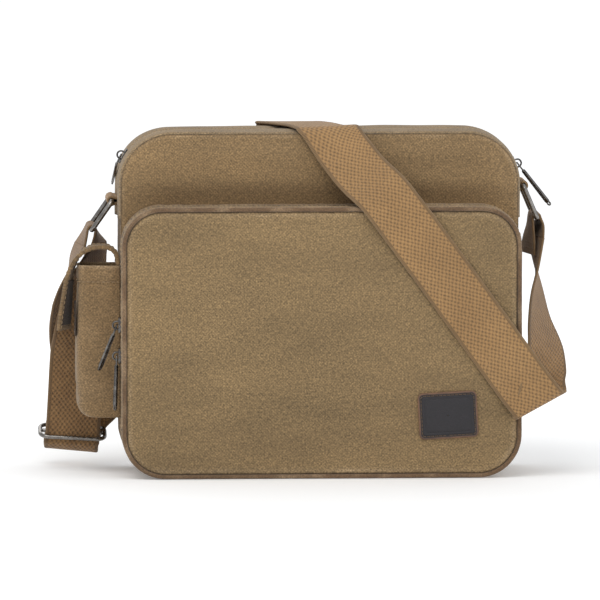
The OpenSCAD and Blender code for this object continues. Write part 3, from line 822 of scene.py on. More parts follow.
def gusset(node, line_out, y0, y1, seed, sag, seams, material=CANVAS_SIDE, stitch_y=None):
    """One gusset strip with its topstitching, y0 in front of y1."""
    name = f"{node}_cloth"
    line, out = line_out
    levels = strip_levels(y0, y1)
    lift = gusset_lift(y0, y1, seed, sag, *seams)
    grid, weave = strip_grid(line, out, levels, lift)
    near = np.minimum(levels - y0, y1 - levels)
    rub = np.clip(wobble(grid, 40.0, seed + 8), -0.3, 1)
    wear_and_shade = 0.45 * smooth(1 - near / (4 * MM))[None, :] + 0.25 * rub
    piece = Piece(name, material)
    piece.grid(grid, weave=weave, wear_and_shade=wear_and_shade)
    thicken(piece.build("root", "canvas", node), CANVAS_T)
    if stitch_y is not None:
        rows, _ = strip_grid(line, out, np.array([stitch_y]), lift)
        row = Piece(f"{name}_stitches_1", THREAD)
        normals = np.stack([out[:, 0], np.zeros(len(out)), out[:, 1]], axis=1)
        stitches(row, rows[:, 0], normals, THREAD)
        row.build("root", "canvas")


def make_gussets():
    """The gussets of the body and of the pocket, with folded edges beside the zips."""
    seam, fold = "seam", "fold"
    body, pocket = body_outline(3 * MM), pocket_outline(3 * MM)
    fold_in = CHAIN_HALF + 1.2 * MM
    overlap = 1 * MM
    body_y0, body_y1 = SEAM_Y + 2.3 * MM, BACK_Y - 2 * CORD_R + 0.8 * MM
    pocket_y0, pocket_y1 = FRONT_Y + 2 * CORD_R - 0.8 * MM, SEAM_Y + 0.6 * MM
    gusset("side_base_gusset", between(body, below=GUSSET_SPLIT + overlap), body_y0, body_y1, 51,
           2.2 * MM, (seam, seam))
    top, crown = between(body, above=GUSSET_SPLIT), -2.4 * MM
    front_y1, back_y0 = MAIN_ZIP_Y - fold_in, MAIN_ZIP_Y + fold_in
    gusset("top_gusset_front", top, body_y0, front_y1, 61, crown, (seam, fold), CANVAS,
           front_y1 - 2.6 * MM)
    gusset("top_gusset_back", top, back_y0, body_y1, 67, crown, (fold, seam), CANVAS,
           back_y0 + 2.6 * MM)
    upper = between(pocket, above=POCKET_ZIP_LOW)
    front_y1, back_y0 = POCKET_ZIP_Y - fold_in, POCKET_ZIP_Y + fold_in
    gusset("pocket_gusset_front", upper, pocket_y0, front_y1, 71, 0.2 * MM, (seam, fold),
           stitch_y=front_y1 - 2.2 * MM)
    gusset("pocket_gusset_back", upper, back_y0, pocket_y1, 73, 0.6 * MM, (fold, seam),
           stitch_y=back_y0 + 2.2 * MM)
    gusset("pocket_base_gusset", between(pocket, below=POCKET_ZIP_LOW + overlap), pocket_y0,
           pocket_y1, 79, 1.5 * MM, (seam, seam))


# ---- Zips -----------------------------------------------------------------------------------

def zip_tapes(zip_name, line_out, zip_y):
    """The two tapes under the folded edges, each with the corded edge that holds the teeth."""
    line, out = line_out
    for side, place in ((-1, "front"), (1, "back")):
        node = f"{zip_name}_tape_{place}"
        near, far = zip_y + side * 0.7 * MM, zip_y + side * (CHAIN_HALF + TAPE_W)
        levels = np.sort(near + (far - near) * np.array([0, 0.06, 0.12, 0.2, 0.35, 0.6, 1.0]))

        def lift(y, _, near=near):
            d = np.abs(y - near)
            return -1.9 * MM + 0.8 * MM * hump(d, 0.5 * MM, 1.1 * MM) - 0.3 * MM * (d > 4 * MM)

        grid, weave = strip_grid(line, out, levels, lift)
        piece = Piece(f"{node}_cloth", ZIP_TAPE)
        piece.grid(grid, weave=weave, wear_and_shade=0.2 * wobble(grid, 70.0, 5))
        thicken(piece.build("root", "zip_tape", node), 0.8 * MM)


def zip_chain(zip_name, line_out, zip_y):
    """Two rows of cast teeth, each with a wider head, that lock between each other."""
    pitch = 2.5 * MM
    tooth = mm(-0.52, -0.7, -1.5), mm(0.52, 2.3, 0.5)
    head = mm(-0.65, -0.95, -1.2), mm(0.65, 0.1, 0.15)
    line, out = line_out
    s = distances(line)
    piece = Piece(f"{zip_name}_teeth", ZIP_METAL)
    rng = random.Random(5)
    for k in range(int(s[-1] / pitch * 2) - 1):
        at = (k + 0.75) * pitch / 2
        side = 1 if k % 2 else -1
        x, z = np.interp(at, s, line[:, 0]), np.interp(at, s, line[:, 1])
        normal = Vector((np.interp(at, s, out[:, 0]), 0,
                         np.interp(at, s, out[:, 1]))).normalized()
        across = Vector((0, side, 0))
        tilt = Matrix.Rotation(rng.gauss(0, 0.03), 4, "Z")
        place = axes(across.cross(normal), across, normal, (x, zip_y, z)) @ tilt
        piece.block(*tooth, place)
        piece.block(*head, place)
    obj = piece.build("root", "zip_metal", f"{zip_name}_chain", smooth_faces=False)
    chamfer(obj, 0.16 * MM, 1)


def zip_stops(zip_name, zip_y):
    """Crimped bars that end both sides of a zip."""
    node = f"{zip_name}_stops"
    half = mm(0.9, 1.1, 1.3)
    piece = Piece(f"{zip_name}_end_bars", ZIP_METAL)
    for side in (-1, 1):
        for row in (-1, 1):
            place = (side * (SIDE - 0.6 * MM), zip_y + row * 1.3 * MM, middle(node).z)
            piece.block(-half, half, Matrix.Translation(place))
    chamfer(piece.build("root", "zip_metal", node, smooth_faces=False), 0.4 * MM, 2)


def make_zips():
    """Tapes, teeth and end bars of both zips."""
    step = 3 * MM
    for zip_name, outline, tape_low, chain_low, zip_y in (
            ("main_zip", body_outline(step), GUSSET_SPLIT + 2 * MM, MAIN_ZIP_LOW, MAIN_ZIP_Y),
            ("pocket_zip", pocket_outline(step), POCKET_ZIP_LOW, POCKET_ZIP_LOW + 4 * MM,
             POCKET_ZIP_Y)):
        zip_tapes(zip_name, between(outline, above=tape_low), zip_y)
        zip_chain(zip_name, between(outline, above=chain_low), zip_y)
        zip_stops(zip_name, zip_y)


# ---- Webbing --------------------------------------------------------------------------------

# Columns of a band from one selvedge to the other, closer together near both
ACROSS = np.array([-1.0, -0.985, -0.95, -0.88, -0.72, -0.5, -0.25, 0.0, 0.25, 0.5, 0.72, 0.88,
                   0.95, 0.985, 1.0])


def ribbon(piece, centres, dirs, width, thickness, steps, seed, ripple, rub=0.5, darkening=None):
    """Flat woven band through stations of centre and direction across, with rounded selvedges.

    rub is how much paler the selvedges are; the last argument gives how much darker each point
    is, which on the strap is painted shade.
    """
    path = spline(centres, steps)
    across = unit(spline(dirs, steps))
    along = unit(np.gradient(path, axis=0))
    lean = np.sum(across * along, axis=1, keepdims=True)
    slant = np.maximum(1 - lean ** 2, 0.78)     # a band that crosses its path aslant is widened
    side = across * width / 2 / np.sqrt(slant)
    face = unit(np.cross(along, side))
    s = distances(path)
    rounding = np.sqrt(np.clip(1 - np.abs(ACROSS) ** 40, 0, 1))
    rounding[0] = rounding[-1] = 0.0
    selvedge = 1.0 + 0.16 * hump(np.abs(ACROSS), 0.92, 0.09)
    half = thickness / 2 * rounding * selvedge
    centre_grid = path[:, None, :] + side[:, None, :] * ACROSS[None, :, None]
    wave = wobble(centre_grid, 26.0, seed)[..., None] * ripple
    offset = face[:, None, :] * half[None, :, None]
    base = centre_grid + face[:, None, :] * wave
    upper, lower = base + offset, base - offset
    u = ACROSS * width / 2
    weave_up = np.stack([np.broadcast_to(u, upper.shape[:2]),
                         np.broadcast_to(s[:, None], upper.shape[:2]),
                         np.zeros(upper.shape[:2])], axis=2)
    wear_and_shade_row = rub * smooth((np.abs(ACROSS) - 0.9) / 0.1) + 0.12 * wobble(base, 30.0, seed + 4)
    # painted shade on the strap, and any other darkening, is taken off the band's values here
    if darkening is not None:
        wear_and_shade_row = wear_and_shade_row - darkening(base)
    ring = np.concatenate([upper, lower[:, ::-1][:, 1:-1]], axis=1)
    weave = np.concatenate([weave_up, weave_up[:, ::-1][:, 1:-1]], axis=1)
    wear_and_shade = np.concatenate([wear_and_shade_row, wear_and_shade_row[:, ::-1][:, 1:-1]], axis=1)
    piece.grid(ring, ring=True, weave=weave, wear_and_shade=wear_and_shade, caps=True)
    return path, across, face


def turned(angle):
    """Direction across a hanging band, turned by degrees about Z from front-to-back."""
    return (math.sin(math.radians(angle)), math.cos(math.radians(angle)), 0.0)


def stations(rows):
    """Centres and directions of a list of (x, y, z, direction) rows, lengths in millimetres."""
    return (np.array([mm(x, y, z) for x, y, z, _ in rows]),
            np.array([d for _, _, _, d in rows], float))


# Landmarks of the frame in millimetres. Each station of the strap is (x, y, z, direction across),
# and the lists follow the strap from the left ring down, behind the bag, over the top and down the
# front to the right ring. An x without a landmark is from the bag's middle. RETURN_LAYER is the
# second layer between the left ring and the adjuster.
SX = SIDE / MM
FY = FRONT_Y / MM
BY = BACK_Y / MM
SY = SEAM_Y / MM
TY = TAB_Y / MM
TZ = TOP / MM
PZ = POCKET_TOP / MM
ZY = MAIN_ZIP_Y / MM
LX = middle("adjuster_bar").x / MM
INNER_Y = BY - 0.5
OUTER_Y = INNER_Y + STRAP_T / MM + 0.4
SLACK_Y = BY + 23.5
BACK_RUN_Y = BY + 5
FRONT_RUN_Y = FY - 3.8
BACK_DIR = (0.82, 0, -0.57)
FRONT_DIR = (0.809, 0, 0.588)

STRAP_DOWN = [
    (-SX - 17.5, TY + 4, 199, turned(16)), (-SX - 20.8, TY + 13, 187, turned(26)),
    (-SX - 28.8, TY + 24, 160, turned(50)), (LX + 6.2, INNER_Y - 3.6, 119, turned(74)),
    (LX + 4, INNER_Y, 97, turned(90)), (LX + 2, INNER_Y, 62, turned(90)),
    (LX, INNER_Y, 27, turned(90))]
STRAP_TURN = [
    (LX - 1.2, INNER_Y + 2, 18, (1, 0, -0.05)), (LX - 1.2, INNER_Y + 12, 13.6, (1, 0, -0.1)),
    (LX - 0.5, SLACK_Y - 1.5, 22, (1, 0, -0.1)), (LX + 9, SLACK_Y, 42, (0.9, 0, -0.43)),
    (LX + 28, SLACK_Y, 63, (0.79, 0, -0.61)),
    (LX + 43, SLACK_Y, 86, BACK_DIR)]
STRAP_BACK = [
    (-SX + 50, BACK_RUN_Y + 1, 151, BACK_DIR), (-SX + 94, BACK_RUN_Y, 214, BACK_DIR),
    (-46, BACK_RUN_Y, 264, (0.86, 0, -0.5))]
STRAP_TOP = [
    (-30, BY + 4.4, TZ - 6, (1, 0, -0.08)), (-27, BY + 1.6, TZ + 2.6, (1, 0.04, -0.04)),
    (-22, BY - 8, TZ + 4.5, (1, 0.08, 0)), (-9, ZY, TZ + 5.3, (0.97, 0.25, 0)),
    (1, SY + 14, TZ + 4.5, (1, 0.08, 0))]
STRAP_FRONT = [
    (8, SY - 1, TZ + 3.5, (0.98, 0, 0.1)), (20, SY - 14, TZ - 14, (0.86, 0.1, 0.46)),
    (36, SY - 28, TZ - 34, (0.79, 0.18, 0.58)), (53, FY + 0.5, PZ + 12, (0.79, 0.17, 0.58)),
    (70, FRONT_RUN_Y, PZ - 10, (0.805, 0.05, 0.59)), (101, FRONT_RUN_Y, 186, FRONT_DIR),
    (149, FRONT_RUN_Y, 119.5, FRONT_DIR), (173, FRONT_RUN_Y + 0.6, 86, (0.81, 0.03, 0.58))]
STRAP_UP = [
    (SX + 7.5, FY - 4.8, 73.5, (0.83, 0.05, 0.55)),
    (SX + 13.2, FY - 4.4, 66.2, (0.86, 0.14, 0.48)),
    (SX + 15.8, FY - 1.6, 63.6, (0.87, 0.2, 0.45)),
    (SX + 16.2, FY + 1.6, 65.6, (0.86, 0.24, 0.44)),
    (SX + 16.4, FY + 6, 74, (0.84, 0.38, 0.38)), (SX + 19.8, FY + 12.5, 89, (0.78, 0.6, 0.16)),
    (SX + 22, FY + 28, 112, (0.62, 0.78, 0)), (SX + 18.5, FY + 48, 135, (0.42, 0.91, 0)),
    (SX + 18, FY + 68, 158, (0.25, 0.97, 0)), (SX + 18.5, FY + 81, 181, (0, 1, 0)),
    (SX + 18.5, FY + 90, 205, (-0.22, 0.975, 0))]
RETURN_LAYER = [
    (-SX - 33.5, TY + 1.5, 199, turned(-8)), (-SX - 40.5, TY + 8, 184, turned(-2)),
    (-SX - 46, TY + 19, 162, turned(12)), (-SX - 42.5, TY + 31, 140, turned(38)),
    (LX + 0.5, OUTER_Y + 6, 119, turned(61)), (LX + 4.5, OUTER_Y + 0.9, 101, turned(84)),
    (LX + 3.4, OUTER_Y - 0.3, 84, turned(90)), (LX + 0.8, OUTER_Y - 0.4, 40, turned(90))]


def shaded(points):
    """Painted shade on the strap where it hangs at the bag's sides, away from the light."""
    x, y = points[..., 0], points[..., 1]
    left = smooth((-SIDE - 6 * MM - x) / (10 * MM)) * smooth((BACK_Y + 16 * MM - y) / (8 * MM))
    right = smooth((x - SIDE) / (8 * MM)) * smooth((y - FRONT_Y - 4 * MM) / (8 * MM))
    return 0.5 * left + 0.35 * right


def make_straps():
    """The shoulder strap in one length, and the layer that comes back from the left ring."""
    strap = STRAP_DOWN + STRAP_TURN + STRAP_BACK + STRAP_TOP + STRAP_FRONT + STRAP_UP
    for name, node, rows, seed, ripple in (
            ("shoulder_strap_webbing", "shoulder_strap", strap, 5, 0.35 * MM),
            ("strap_return_webbing", "strap_return_layer", RETURN_LAYER, 9, 0.12 * MM)):
        piece = Piece(name, WEBBING)
        # the strap gets painted shade where it hangs at the bag's sides
        ribbon(piece, *stations(rows), STRAP_W, STRAP_T, 10, seed, ripple, darkening=shaded)
        piece.build("root", "webbing", node)


def ring_geometry(node):
    """Upper bar's centre, direction to the lower bar and distance between them, at rest."""
    top = np.array(pin(f"{node}_swing"))
    along = np.array(middle(node)) - top
    along[1] = 0.0
    return top, unit(along), 2 * np.linalg.norm(along)


def ring_wire(node):
    """Wire thickness of a ring, from the reach of its box over the upper bar."""
    return 2 * (high(node).z - pin(f"{node}_swing").z)


def wire_ring(node):
    """Bent wire ring with rounded corners, hung from its upper bar."""
    top, down, length = ring_geometry(node)
    wire = ring_wire(node)
    width = high(node).y - low(node).y - wire
    corner = 4 * MM
    flat = rounded_rect(width, length, corner, corner, 0, 1.2 * MM)
    path = top + flat[:, :1] * np.array([0, 1, 0]) + flat[:, 1:] * down
    piece = Piece(f"{node}_wire", WIRE)
    radius = wire / 2 * (1 + 0.012 * wobble(path, 300.0, 8))
    piece.tube(path, radius, 16, closed=True, up=tuple(np.cross(down, (0, 1, 0))))
    piece.build(node, "gunmetal", node)


def make_rings():
    """Both wire rings, each in its webbing tab."""
    for side, node, tab_node in ((-1, "left_ring", "left_tab"), (1, "right_ring", "right_tab")):
        wire_ring(node)
        tab(side, np.array(pin(f"{node}_swing")), ring_wire(node), tab_node)


def tab(side, bar, wire, node):
    """Short webbing loop that leaves a seam of the gusset, goes round the ring's bar and back."""
    r = wire / 2 + STRAP_T / 2 + 0.1 * MM
    root = side * (SIDE - 1 * MM)
    rows = [(root, 1.6), (root + side * 2.0 * MM, 2.2), (bar[0] - side * 1.6 * MM, 2.7),
            (bar[0], r / MM), (bar[0] + side * r * 0.75, r * 0.7 / MM), (bar[0] + side * r, 0),
            (bar[0] + side * r * 0.72, -r * 0.72 / MM), (bar[0], -r / MM),
            (bar[0] - side * 2.0 * MM, -2.6), (root + side * 1.6 * MM, -1.8), (root, -1.4)]
    centres = np.array([(x, bar[1], bar[2] + z * MM) for x, z in rows])
    dirs = np.tile((0.0, 1.0, 0.0), (len(rows), 1))
    piece = Piece(f"{node}_webbing", WEBBING)
    ribbon(piece, centres, dirs, STRAP_W, STRAP_T, 6, 15, 0.1 * MM)
    normal = np.array([side * 0.2, 0.0, 1.0])
    for inset in (1.6 * MM, 3.4 * MM):
        line = np.array([(root + side * inset, bar[1] + k * (STRAP_W / 2 - 2 * MM),
                          bar[2] + 2.2 * MM + STRAP_T / 2) for k in (-1, 1)])
        stitches(piece, resample(line, 30), np.tile(normal, (30, 1)), THREAD)
    piece.build("root", "webbing", node)


def lower_bar(node, angles):
    """Lower bar's centre of a ring, the webbing's radius round it and points at angles on it."""
    top, down, length = ring_geometry(node)
    bar = top + down * length
    r = ring_wire(node) / 2 + STRAP_T / 2 + 0.15 * MM
    arc = [(bar[0] + r * math.cos(a), TAB_Y, bar[2] + r * math.sin(a)) for a in np.radians(angles)]
    return bar, r, arc


def ring_webbing(node, rows, dirs, seed):
    """Webbing round a lower bar, between the ring above and the strap's end below."""
    piece = Piece(f"{node}_webbing_turn", WEBBING)
    # the webbing turn gets painted shade where it hangs at the bag's sides
    ribbon(piece, np.array(rows), np.array(dirs), STRAP_W, STRAP_T, 8, seed, 0.15 * MM,
           darkening=shaded)
    obj = piece.build(None, "webbing", f"{node}_webbing")
    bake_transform(obj)


def make_ring_webbing():
    """The turn that joins both layers at the left ring, and the strap's last turn at the right."""
    straight = [turned(0)] * 5
    outer, inner = RETURN_LAYER[0], STRAP_DOWN[0]
    bar, r, arc = lower_bar("left_ring", (175, 135, 90, 45, 5))
    rows = [mm(*outer[:3]), (bar[0] - r - 2.2 * MM, TAB_Y + 0.4 * MM, bar[2] - 6 * MM)] + arc
    rows += [(bar[0] + r + 1.0 * MM, TAB_Y + 0.6 * MM, bar[2] - 6 * MM), mm(*inner[:3])]
    dirs = [outer[3], turned(-3)] + straight + [turned(5), inner[3]]
    ring_webbing("left_ring", rows, dirs, 21)

    last = STRAP_UP[-1]
    bar, r, arc = lower_bar("right_ring", (-5, 45, 90, 135, 185))
    rows = [mm(*last[:3]), (bar[0] + r + 0.4 * MM, TAB_Y - 0.6 * MM, bar[2] - 7 * MM)] + arc
    rows += [(bar[0] - r - x * MM, TAB_Y - y * MM, bar[2] - z * MM)
             for x, y, z in ((0.4, 0, 9), (1.6, 0.5, 20), (2.6, 1.0, 33))]
    dirs = [last[3], turned(-5)] + straight + [turned(-2), turned(-7), turned(-10)]
    ring_webbing("right_ring", rows, dirs, 27)


ADJUSTER_WIRE = 3.6 * MM
ADJUSTER_LEAN = Matrix.Rotation(math.radians(3.2), 3, "Y")     # its right end is the lower one
ADJUSTER_TILT = Matrix.Rotation(math.radians(20), 3, "X")


def make_adjuster():
    """Oval wire frame with its centre bar, and the sewn end of the webbing round the bar."""
    bar = np.array(middle("adjuster_bar"))
    turn = np.array(ADJUSTER_LEAN @ ADJUSTER_TILT)
    along, out = turn[:, 0], turn[:, 2]
    width, depth, corner = 57.4 * MM, 25 * MM, 7.5 * MM
    flat = rounded_rect(width, depth, corner, corner, -depth / 2, 1.2 * MM)
    path = bar + np.column_stack([flat, np.zeros(len(flat))]) @ turn.T
    piece = Piece("adjuster_wire_frame", WIRE)
    piece.tube(path, ADJUSTER_WIRE / 2, 14, closed=True, up=tuple(out))
    piece.build("adjuster", "gunmetal", "adjuster_frame")
    half = (width - ADJUSTER_WIRE) / 2
    rod = bar + np.outer(np.linspace(-half, half, 30), along)
    piece = Piece("adjuster_centre_bar", WIRE)
    piece.tube(rod, ADJUSTER_WIRE / 2, 14, up=tuple(out))
    piece.build("adjuster", "gunmetal", "adjuster_bar")
    sewn_end(bar, along)


def sewn_end(bar, along):
    """End of the webbing: down in front of the centre bar, round it and sewn to itself above."""
    thickness = 1.8 * MM
    up = np.array(ADJUSTER_LEAN @ Vector((0, 0, 1)))
    r = ADJUSTER_WIRE / 2 + 1.1 * MM
    front = -r + 0.1 * MM
    rows = [bar + np.array([0, y, 0]) + up * z for y, z in (
        (front, 9 * MM), (front, 4 * MM), (-r, 0), (-r * 0.7, -r * 0.7), (0, -r),
        (r * 0.7, -r * 0.7), (r, 0), (r * 0.7, r * 0.7), (0.2 * MM, r * 1.15),
        (front + 2.0 * MM, 5.2 * MM), (front + 1.8 * MM, 9 * MM))]
    piece = Piece("strap_sewn_end_webbing", WEBBING_TAIL)
    ribbon(piece, np.array(rows), np.tile(along, (len(rows), 1)), STRAP_W, thickness, 6, 31,
           0.1 * MM)
    seam = rows[-1] - up * 2 * MM + np.array([0, thickness / 2 + 0.05 * MM, 0])
    line = seam + np.outer(np.linspace(-21, 21, 30) * MM, along)
    stitches(piece, line, np.tile((0.0, 1.0, 0.0), (30, 1)), THREAD)
    piece.build("adjuster", "webbing", "strap_sewn_end")


# ---- Side pocket ----------------------------------------------------------------------------

TONGUE_Y = middle("side_pocket_tongue").y
TONGUE_W = 24 * MM
TONGUE_T = 3 * MM
POUCH_COLUMNS = 34          # points of one level of the pouch


def side_section(z, out, y0, y1, corner):
    """One level of the pouch: out along the front wall, across its face and back in."""
    r = min(corner, out * 0.6)
    x_in, x_out = -SIDE, -SIDE - out
    halfway = x_in - (out - r) * 0.5
    quarter = np.radians(np.arange(0, 91, 15))
    front = [(x_out + r - r * math.sin(a), y0 + r - r * math.cos(a)) for a in quarter]
    back = [(x_out + r - r * math.cos(a), y1 - r + r * math.sin(a)) for a in quarter]
    line = [(x_in, y0), (halfway, y0)] + front + back + [(halfway, y1), (x_in, y1)]
    return np.column_stack([resample(np.array(line), POUCH_COLUMNS), np.full(POUCH_COLUMNS, z)])


def pouch_sections(lo, hi, out, hem):
    """Levels of the pouch from its rim, past the hem's stitches, to its rounded base."""
    base_r = 13 * MM
    rim = hi.z - np.array([0, 0.5, 1.5, 4, 8, 12, hem / MM - 0.6, hem / MM + 0.6]) * MM
    base = lo.z + base_r * np.array([0.8, 0.6, 0.42, 0.27, 0.15, 0.06, 0.0])
    rows = []
    for z in [*rim, *np.linspace(hi.z - hem - 4 * MM, lo.z + base_r, 30), *base]:
        rise = min(1.0, (z - lo.z) / base_r)
        reach = out - base_r + base_r * math.sqrt(max(0.0, 1 - (1 - rise) ** 2))
        belly = 1.6 * MM * float(hump(z, lo.z + 55 * MM, 70 * MM))
        rows.append(side_section(z, reach + belly - 0.6 * MM, lo.y + 0.2 * MM, hi.y, 7 * MM))
    rows.append(side_section(lo.z + 0.1 * MM, 8 * MM, lo.y + 6 * MM, hi.y - 6 * MM, 3 * MM))
    return np.array(rows)


def make_side_pocket():
    """The pouch on the left gusset: an open shell with a stitched hem, slumped and creased."""
    lo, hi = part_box("side_pocket")
    out = -SIDE - lo.x
    hem = 15 * MM
    stitch_row = 6              # the level just above the hem's lower edge
    grid = pouch_sections(lo, hi, out, hem)
    z = grid[..., 2]
    centre = np.array([-SIDE - out / 2, (lo.y + hi.y) / 2, 0])
    away = unit((grid - centre) * np.array([1, 1, 0]))
    free = smooth((-SIDE - grid[..., 0]) / (8 * MM))
    band = 0.5 * MM * smooth((z - (hi.z - hem)) / (1.2 * MM))
    wave = (wobble(grid * np.array([1, 1, 0.6]), 30.0, 41) * 1.3 * MM
            + wobble(grid * np.array([1, 1, 0.35]), 75.0, 42) * 0.5 * MM)
    crease = -1.6 * MM * hump(z - 0.4 * (grid[..., 1] - lo.y), lo.z + 13 * MM, 5 * MM)
    grip = -0.7 * MM * hump(z, hi.z - hem, 2.0 * MM)
    lean = np.stack([np.zeros_like(z), -1.4 * MM * smooth((z - hi.z + 50 * MM) / (50 * MM)),
                     0.8 * MM * wobble(grid, 18.0, 44)], axis=2)
    grid = grid + (away * (wave + crease + grip + band)[..., None] + lean) * free[..., None]
    rub = 0.55 * smooth(1 - (hi.z - z) / (3 * MM)) + 0.2 * wobble(grid, 40.0, 46)
    piece = Piece("side_pocket_cloth", CANVAS_SIDE)
    piece.grid(grid, wear_and_shade=rub)
    thicken(soften(piece.build("root", "canvas", "side_pocket")), CANVAS_T)
    row = Piece("side_pocket_hem_stitches", THREAD)
    normals = away[stitch_row]
    stitches(row, grid[stitch_row] + normals * 0.7 * MM, normals, THREAD)
    row.build("root", "canvas")


# Stations of the tongue: x and z in millimetres, and how far its direction across leans to +X
TONGUE = [(-SX - 2.0, 185, 0), (-SX - 3.6, 194, 0), (-SX - 9, 199, 0), (-SX - 15, 200.2, 0),
          (-SX - 26, 199, 0.02), (-SX - 37, 191, 0.1), (-SX - 44, 176, 0.22),
          (-SX - 47.2, 152, 0.38), (-SX - 49.6, 127, 0.5)]
HOOK_ROWS = slice(-15, -2)          # samples of the tongue's end that carry its hook tape
END_SEAM = -3                       # sample of the tongue where its end is sewn across


def make_tongue():
    """The strip that closes the pouch: one doubled band, bent at its crest, with a stitched edge
    all round and hook tape inside its end."""
    centres = np.array([(x * MM, TONGUE_Y, z * MM) for x, z, _ in TONGUE])
    dirs = np.array([(twist, 1, 0) for _, _, twist in TONGUE], float)
    piece = Piece("side_pocket_tongue_band", CANVAS_SIDE)
    # the whole band's colour is made darker by a fixed amount
    path, across, face = ribbon(piece, centres, dirs, TONGUE_W, TONGUE_T, 8, 51, 0.5 * MM,
                                rub=0.1, darkening=lambda points: 0.35)
    seam = TONGUE_W / 2 - 2.6 * MM
    for side in (-1, 1):
        line = path + across * side * seam
        for turn in (-1, 1):
            lifted = line + face * turn * (TONGUE_T / 2 + 0.1 * MM)
            stitches(piece, lifted, face * turn, THREAD)
    end = path[END_SEAM] + np.linspace(-1, 1, 14)[:, None] * across[END_SEAM] * seam
    for turn in (-1, 1):
        normal = face[END_SEAM] * turn
        stitches(piece, end + normal * (TONGUE_T / 2 + 0.15 * MM), np.tile(normal, (14, 1)),
                 THREAD)
    obj = piece.build(None, "canvas", "side_pocket_tongue_root", "side_pocket_tongue")
    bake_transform(obj)
    make_hook_and_loop(path[HOOK_ROWS], across[HOOK_ROWS], face[HOOK_ROWS])


def make_hook_and_loop(path, across, face):
    """Hook tape on the tongue's inner side, towards +X, and loop tape on the pouch."""
    inward = face if face[len(face) // 2][0] > 0 else -face
    piece = Piece("tongue_hook_tape_nap", HOOKS)
    ribbon(piece, path + inward * (TONGUE_T / 2 + 0.5 * MM), across, TONGUE_W - 5 * MM, 1.0 * MM,
           2, 57, 0.0)
    piece.build("tongue", "hook_and_loop", "tongue_hook_tape")
    lo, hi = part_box("pocket_loop_tape")
    centres = np.array([(lo.x + 0.1 * MM, (lo.y + hi.y) / 2, z)
                        for z in np.linspace(lo.z, hi.z, 9)])
    piece = Piece("pocket_loop_tape_nap", HOOKS)
    ribbon(piece, centres, np.tile((0.0, 1.0, 0.0), (9, 1)), hi.y - lo.y, 1.2 * MM, 2, 59,
           0.1 * MM)
    piece.build("root", "hook_and_loop", "pocket_loop_tape")


# ---- Leather patch --------------------------------------------------------------------------

# Rows of the patch from its cut edge inwards, in millimetres: inset and height over the pocket
PATCH_PROFILE = [(0, -0.5), (0, 0.9), (0.2, 1.4), (0.7, 1.62), (1.9, 1.66), (2.4, 1.3), (3.2, 1.3),
                 (3.7, 1.62), (5.0, 1.66), (5.4, 1.36), (6.0, 1.36), (6.4, 1.66), (8, 1.7),
                 (11, 1.72), (14, 1.72), (17, 1.72)]


def make_patch():
    """Blank patch sewn to the pocket: cut edge, stitched groove and an embossed border line."""
    centre = middle("leather_patch")
    turn = np.array(Matrix.Rotation(math.radians(3), 2))
    width, height, corner = 52 * MM, 41 * MM, 5 * MM
    flat = rounded_rect(width, height, corner, corner, -height / 2, 1.0 * MM)
    normals = outline_normals(flat)

    def seat(ring, lift):
        x, z = (ring @ turn.T + (centre.x, centre.z)).T
        bow = 0.25 * MM * wobble(np.stack([x, 0 * x, z], axis=1), 40.0, 71)
        return np.stack([x, pocket_y(x, z) - lift - bow, z], axis=1)

    rows = []
    wear_and_shade = []
    for inset, lift in PATCH_PROFILE:
        depth = inset * MM
        ring = flat - normals * depth
        if depth > corner:
            ring = flat * (1 - depth / np.array([width / 2, height / 2]))
        rows.append(seat(ring, lift * MM))
        wear_and_shade.append(np.full(len(flat), 1.0 if inset < 0.9 else 0.12 if inset < 2 else 0.0))
    rows.append(seat(flat * 0.02, PATCH_PROFILE[-1][1] * MM))
    wear_and_shade.append(np.zeros(len(flat)))
    piece = Piece("leather_patch_blank", LEATHER)
    piece.grid(np.array(rows), ring=True, wear_and_shade=np.array(wear_and_shade))
    piece.build("root", "leather", "leather_patch")
    line = seat(flat - normals * 2.8 * MM, 1.45 * MM)
    line = np.vstack([line, line[:1]])
    row = Piece("leather_patch_stitches", THREAD_DARK)
    stitches(row, line, np.tile((0.0, -1.0, 0.0), (len(line), 1)), THREAD_DARK, 2.6 * MM,
             0.9 * MM, 0.42 * MM)
    row.build("root", "leather")


# ---- Zip sliders and pullers ----------------------------------------------------------------

def slab(piece, outline, lo, hi, place):
    """A flat plate with a closed outline in local X and Y, between two local heights."""
    count = len(outline)
    points = [tuple(place @ Vector((x, y, z))) for z in (lo, hi) for x, y in outline]
    faces = [tuple(range(count))[::-1], tuple(range(count, 2 * count))]
    faces += [(k, (k + 1) % count, count + (k + 1) % count, count + k) for k in range(count)]
    piece.extend(points, faces)


def moved(place, points):
    """Points given as (x, y, z), moved by a matrix."""
    return np.array([tuple(place @ Vector(p)) for p in points])


# Outlines of a slider in millimetres: half of its waisted top plate, and one of its side flanges
SLIDER_TOP = [(-7.0, -2.6), (-6.2, -4.2), (-3.5, -4.9), (0, -4.5), (3.5, -5.2), (6.2, -5.2),
              (7.0, -4.2)]
SLIDER_FLANGE = [(-5.6, 4.1), (-3.4, 4.8), (0, 4.4), (3.4, 5.1), (5.8, 5.1), (5.8, 4.2), (0, 3.6),
                 (-5.6, 3.3)]
CROWN_Z = 4.7 * MM           # the puller's pin over the zip's middle
CROWN_R = 3.45 * MM


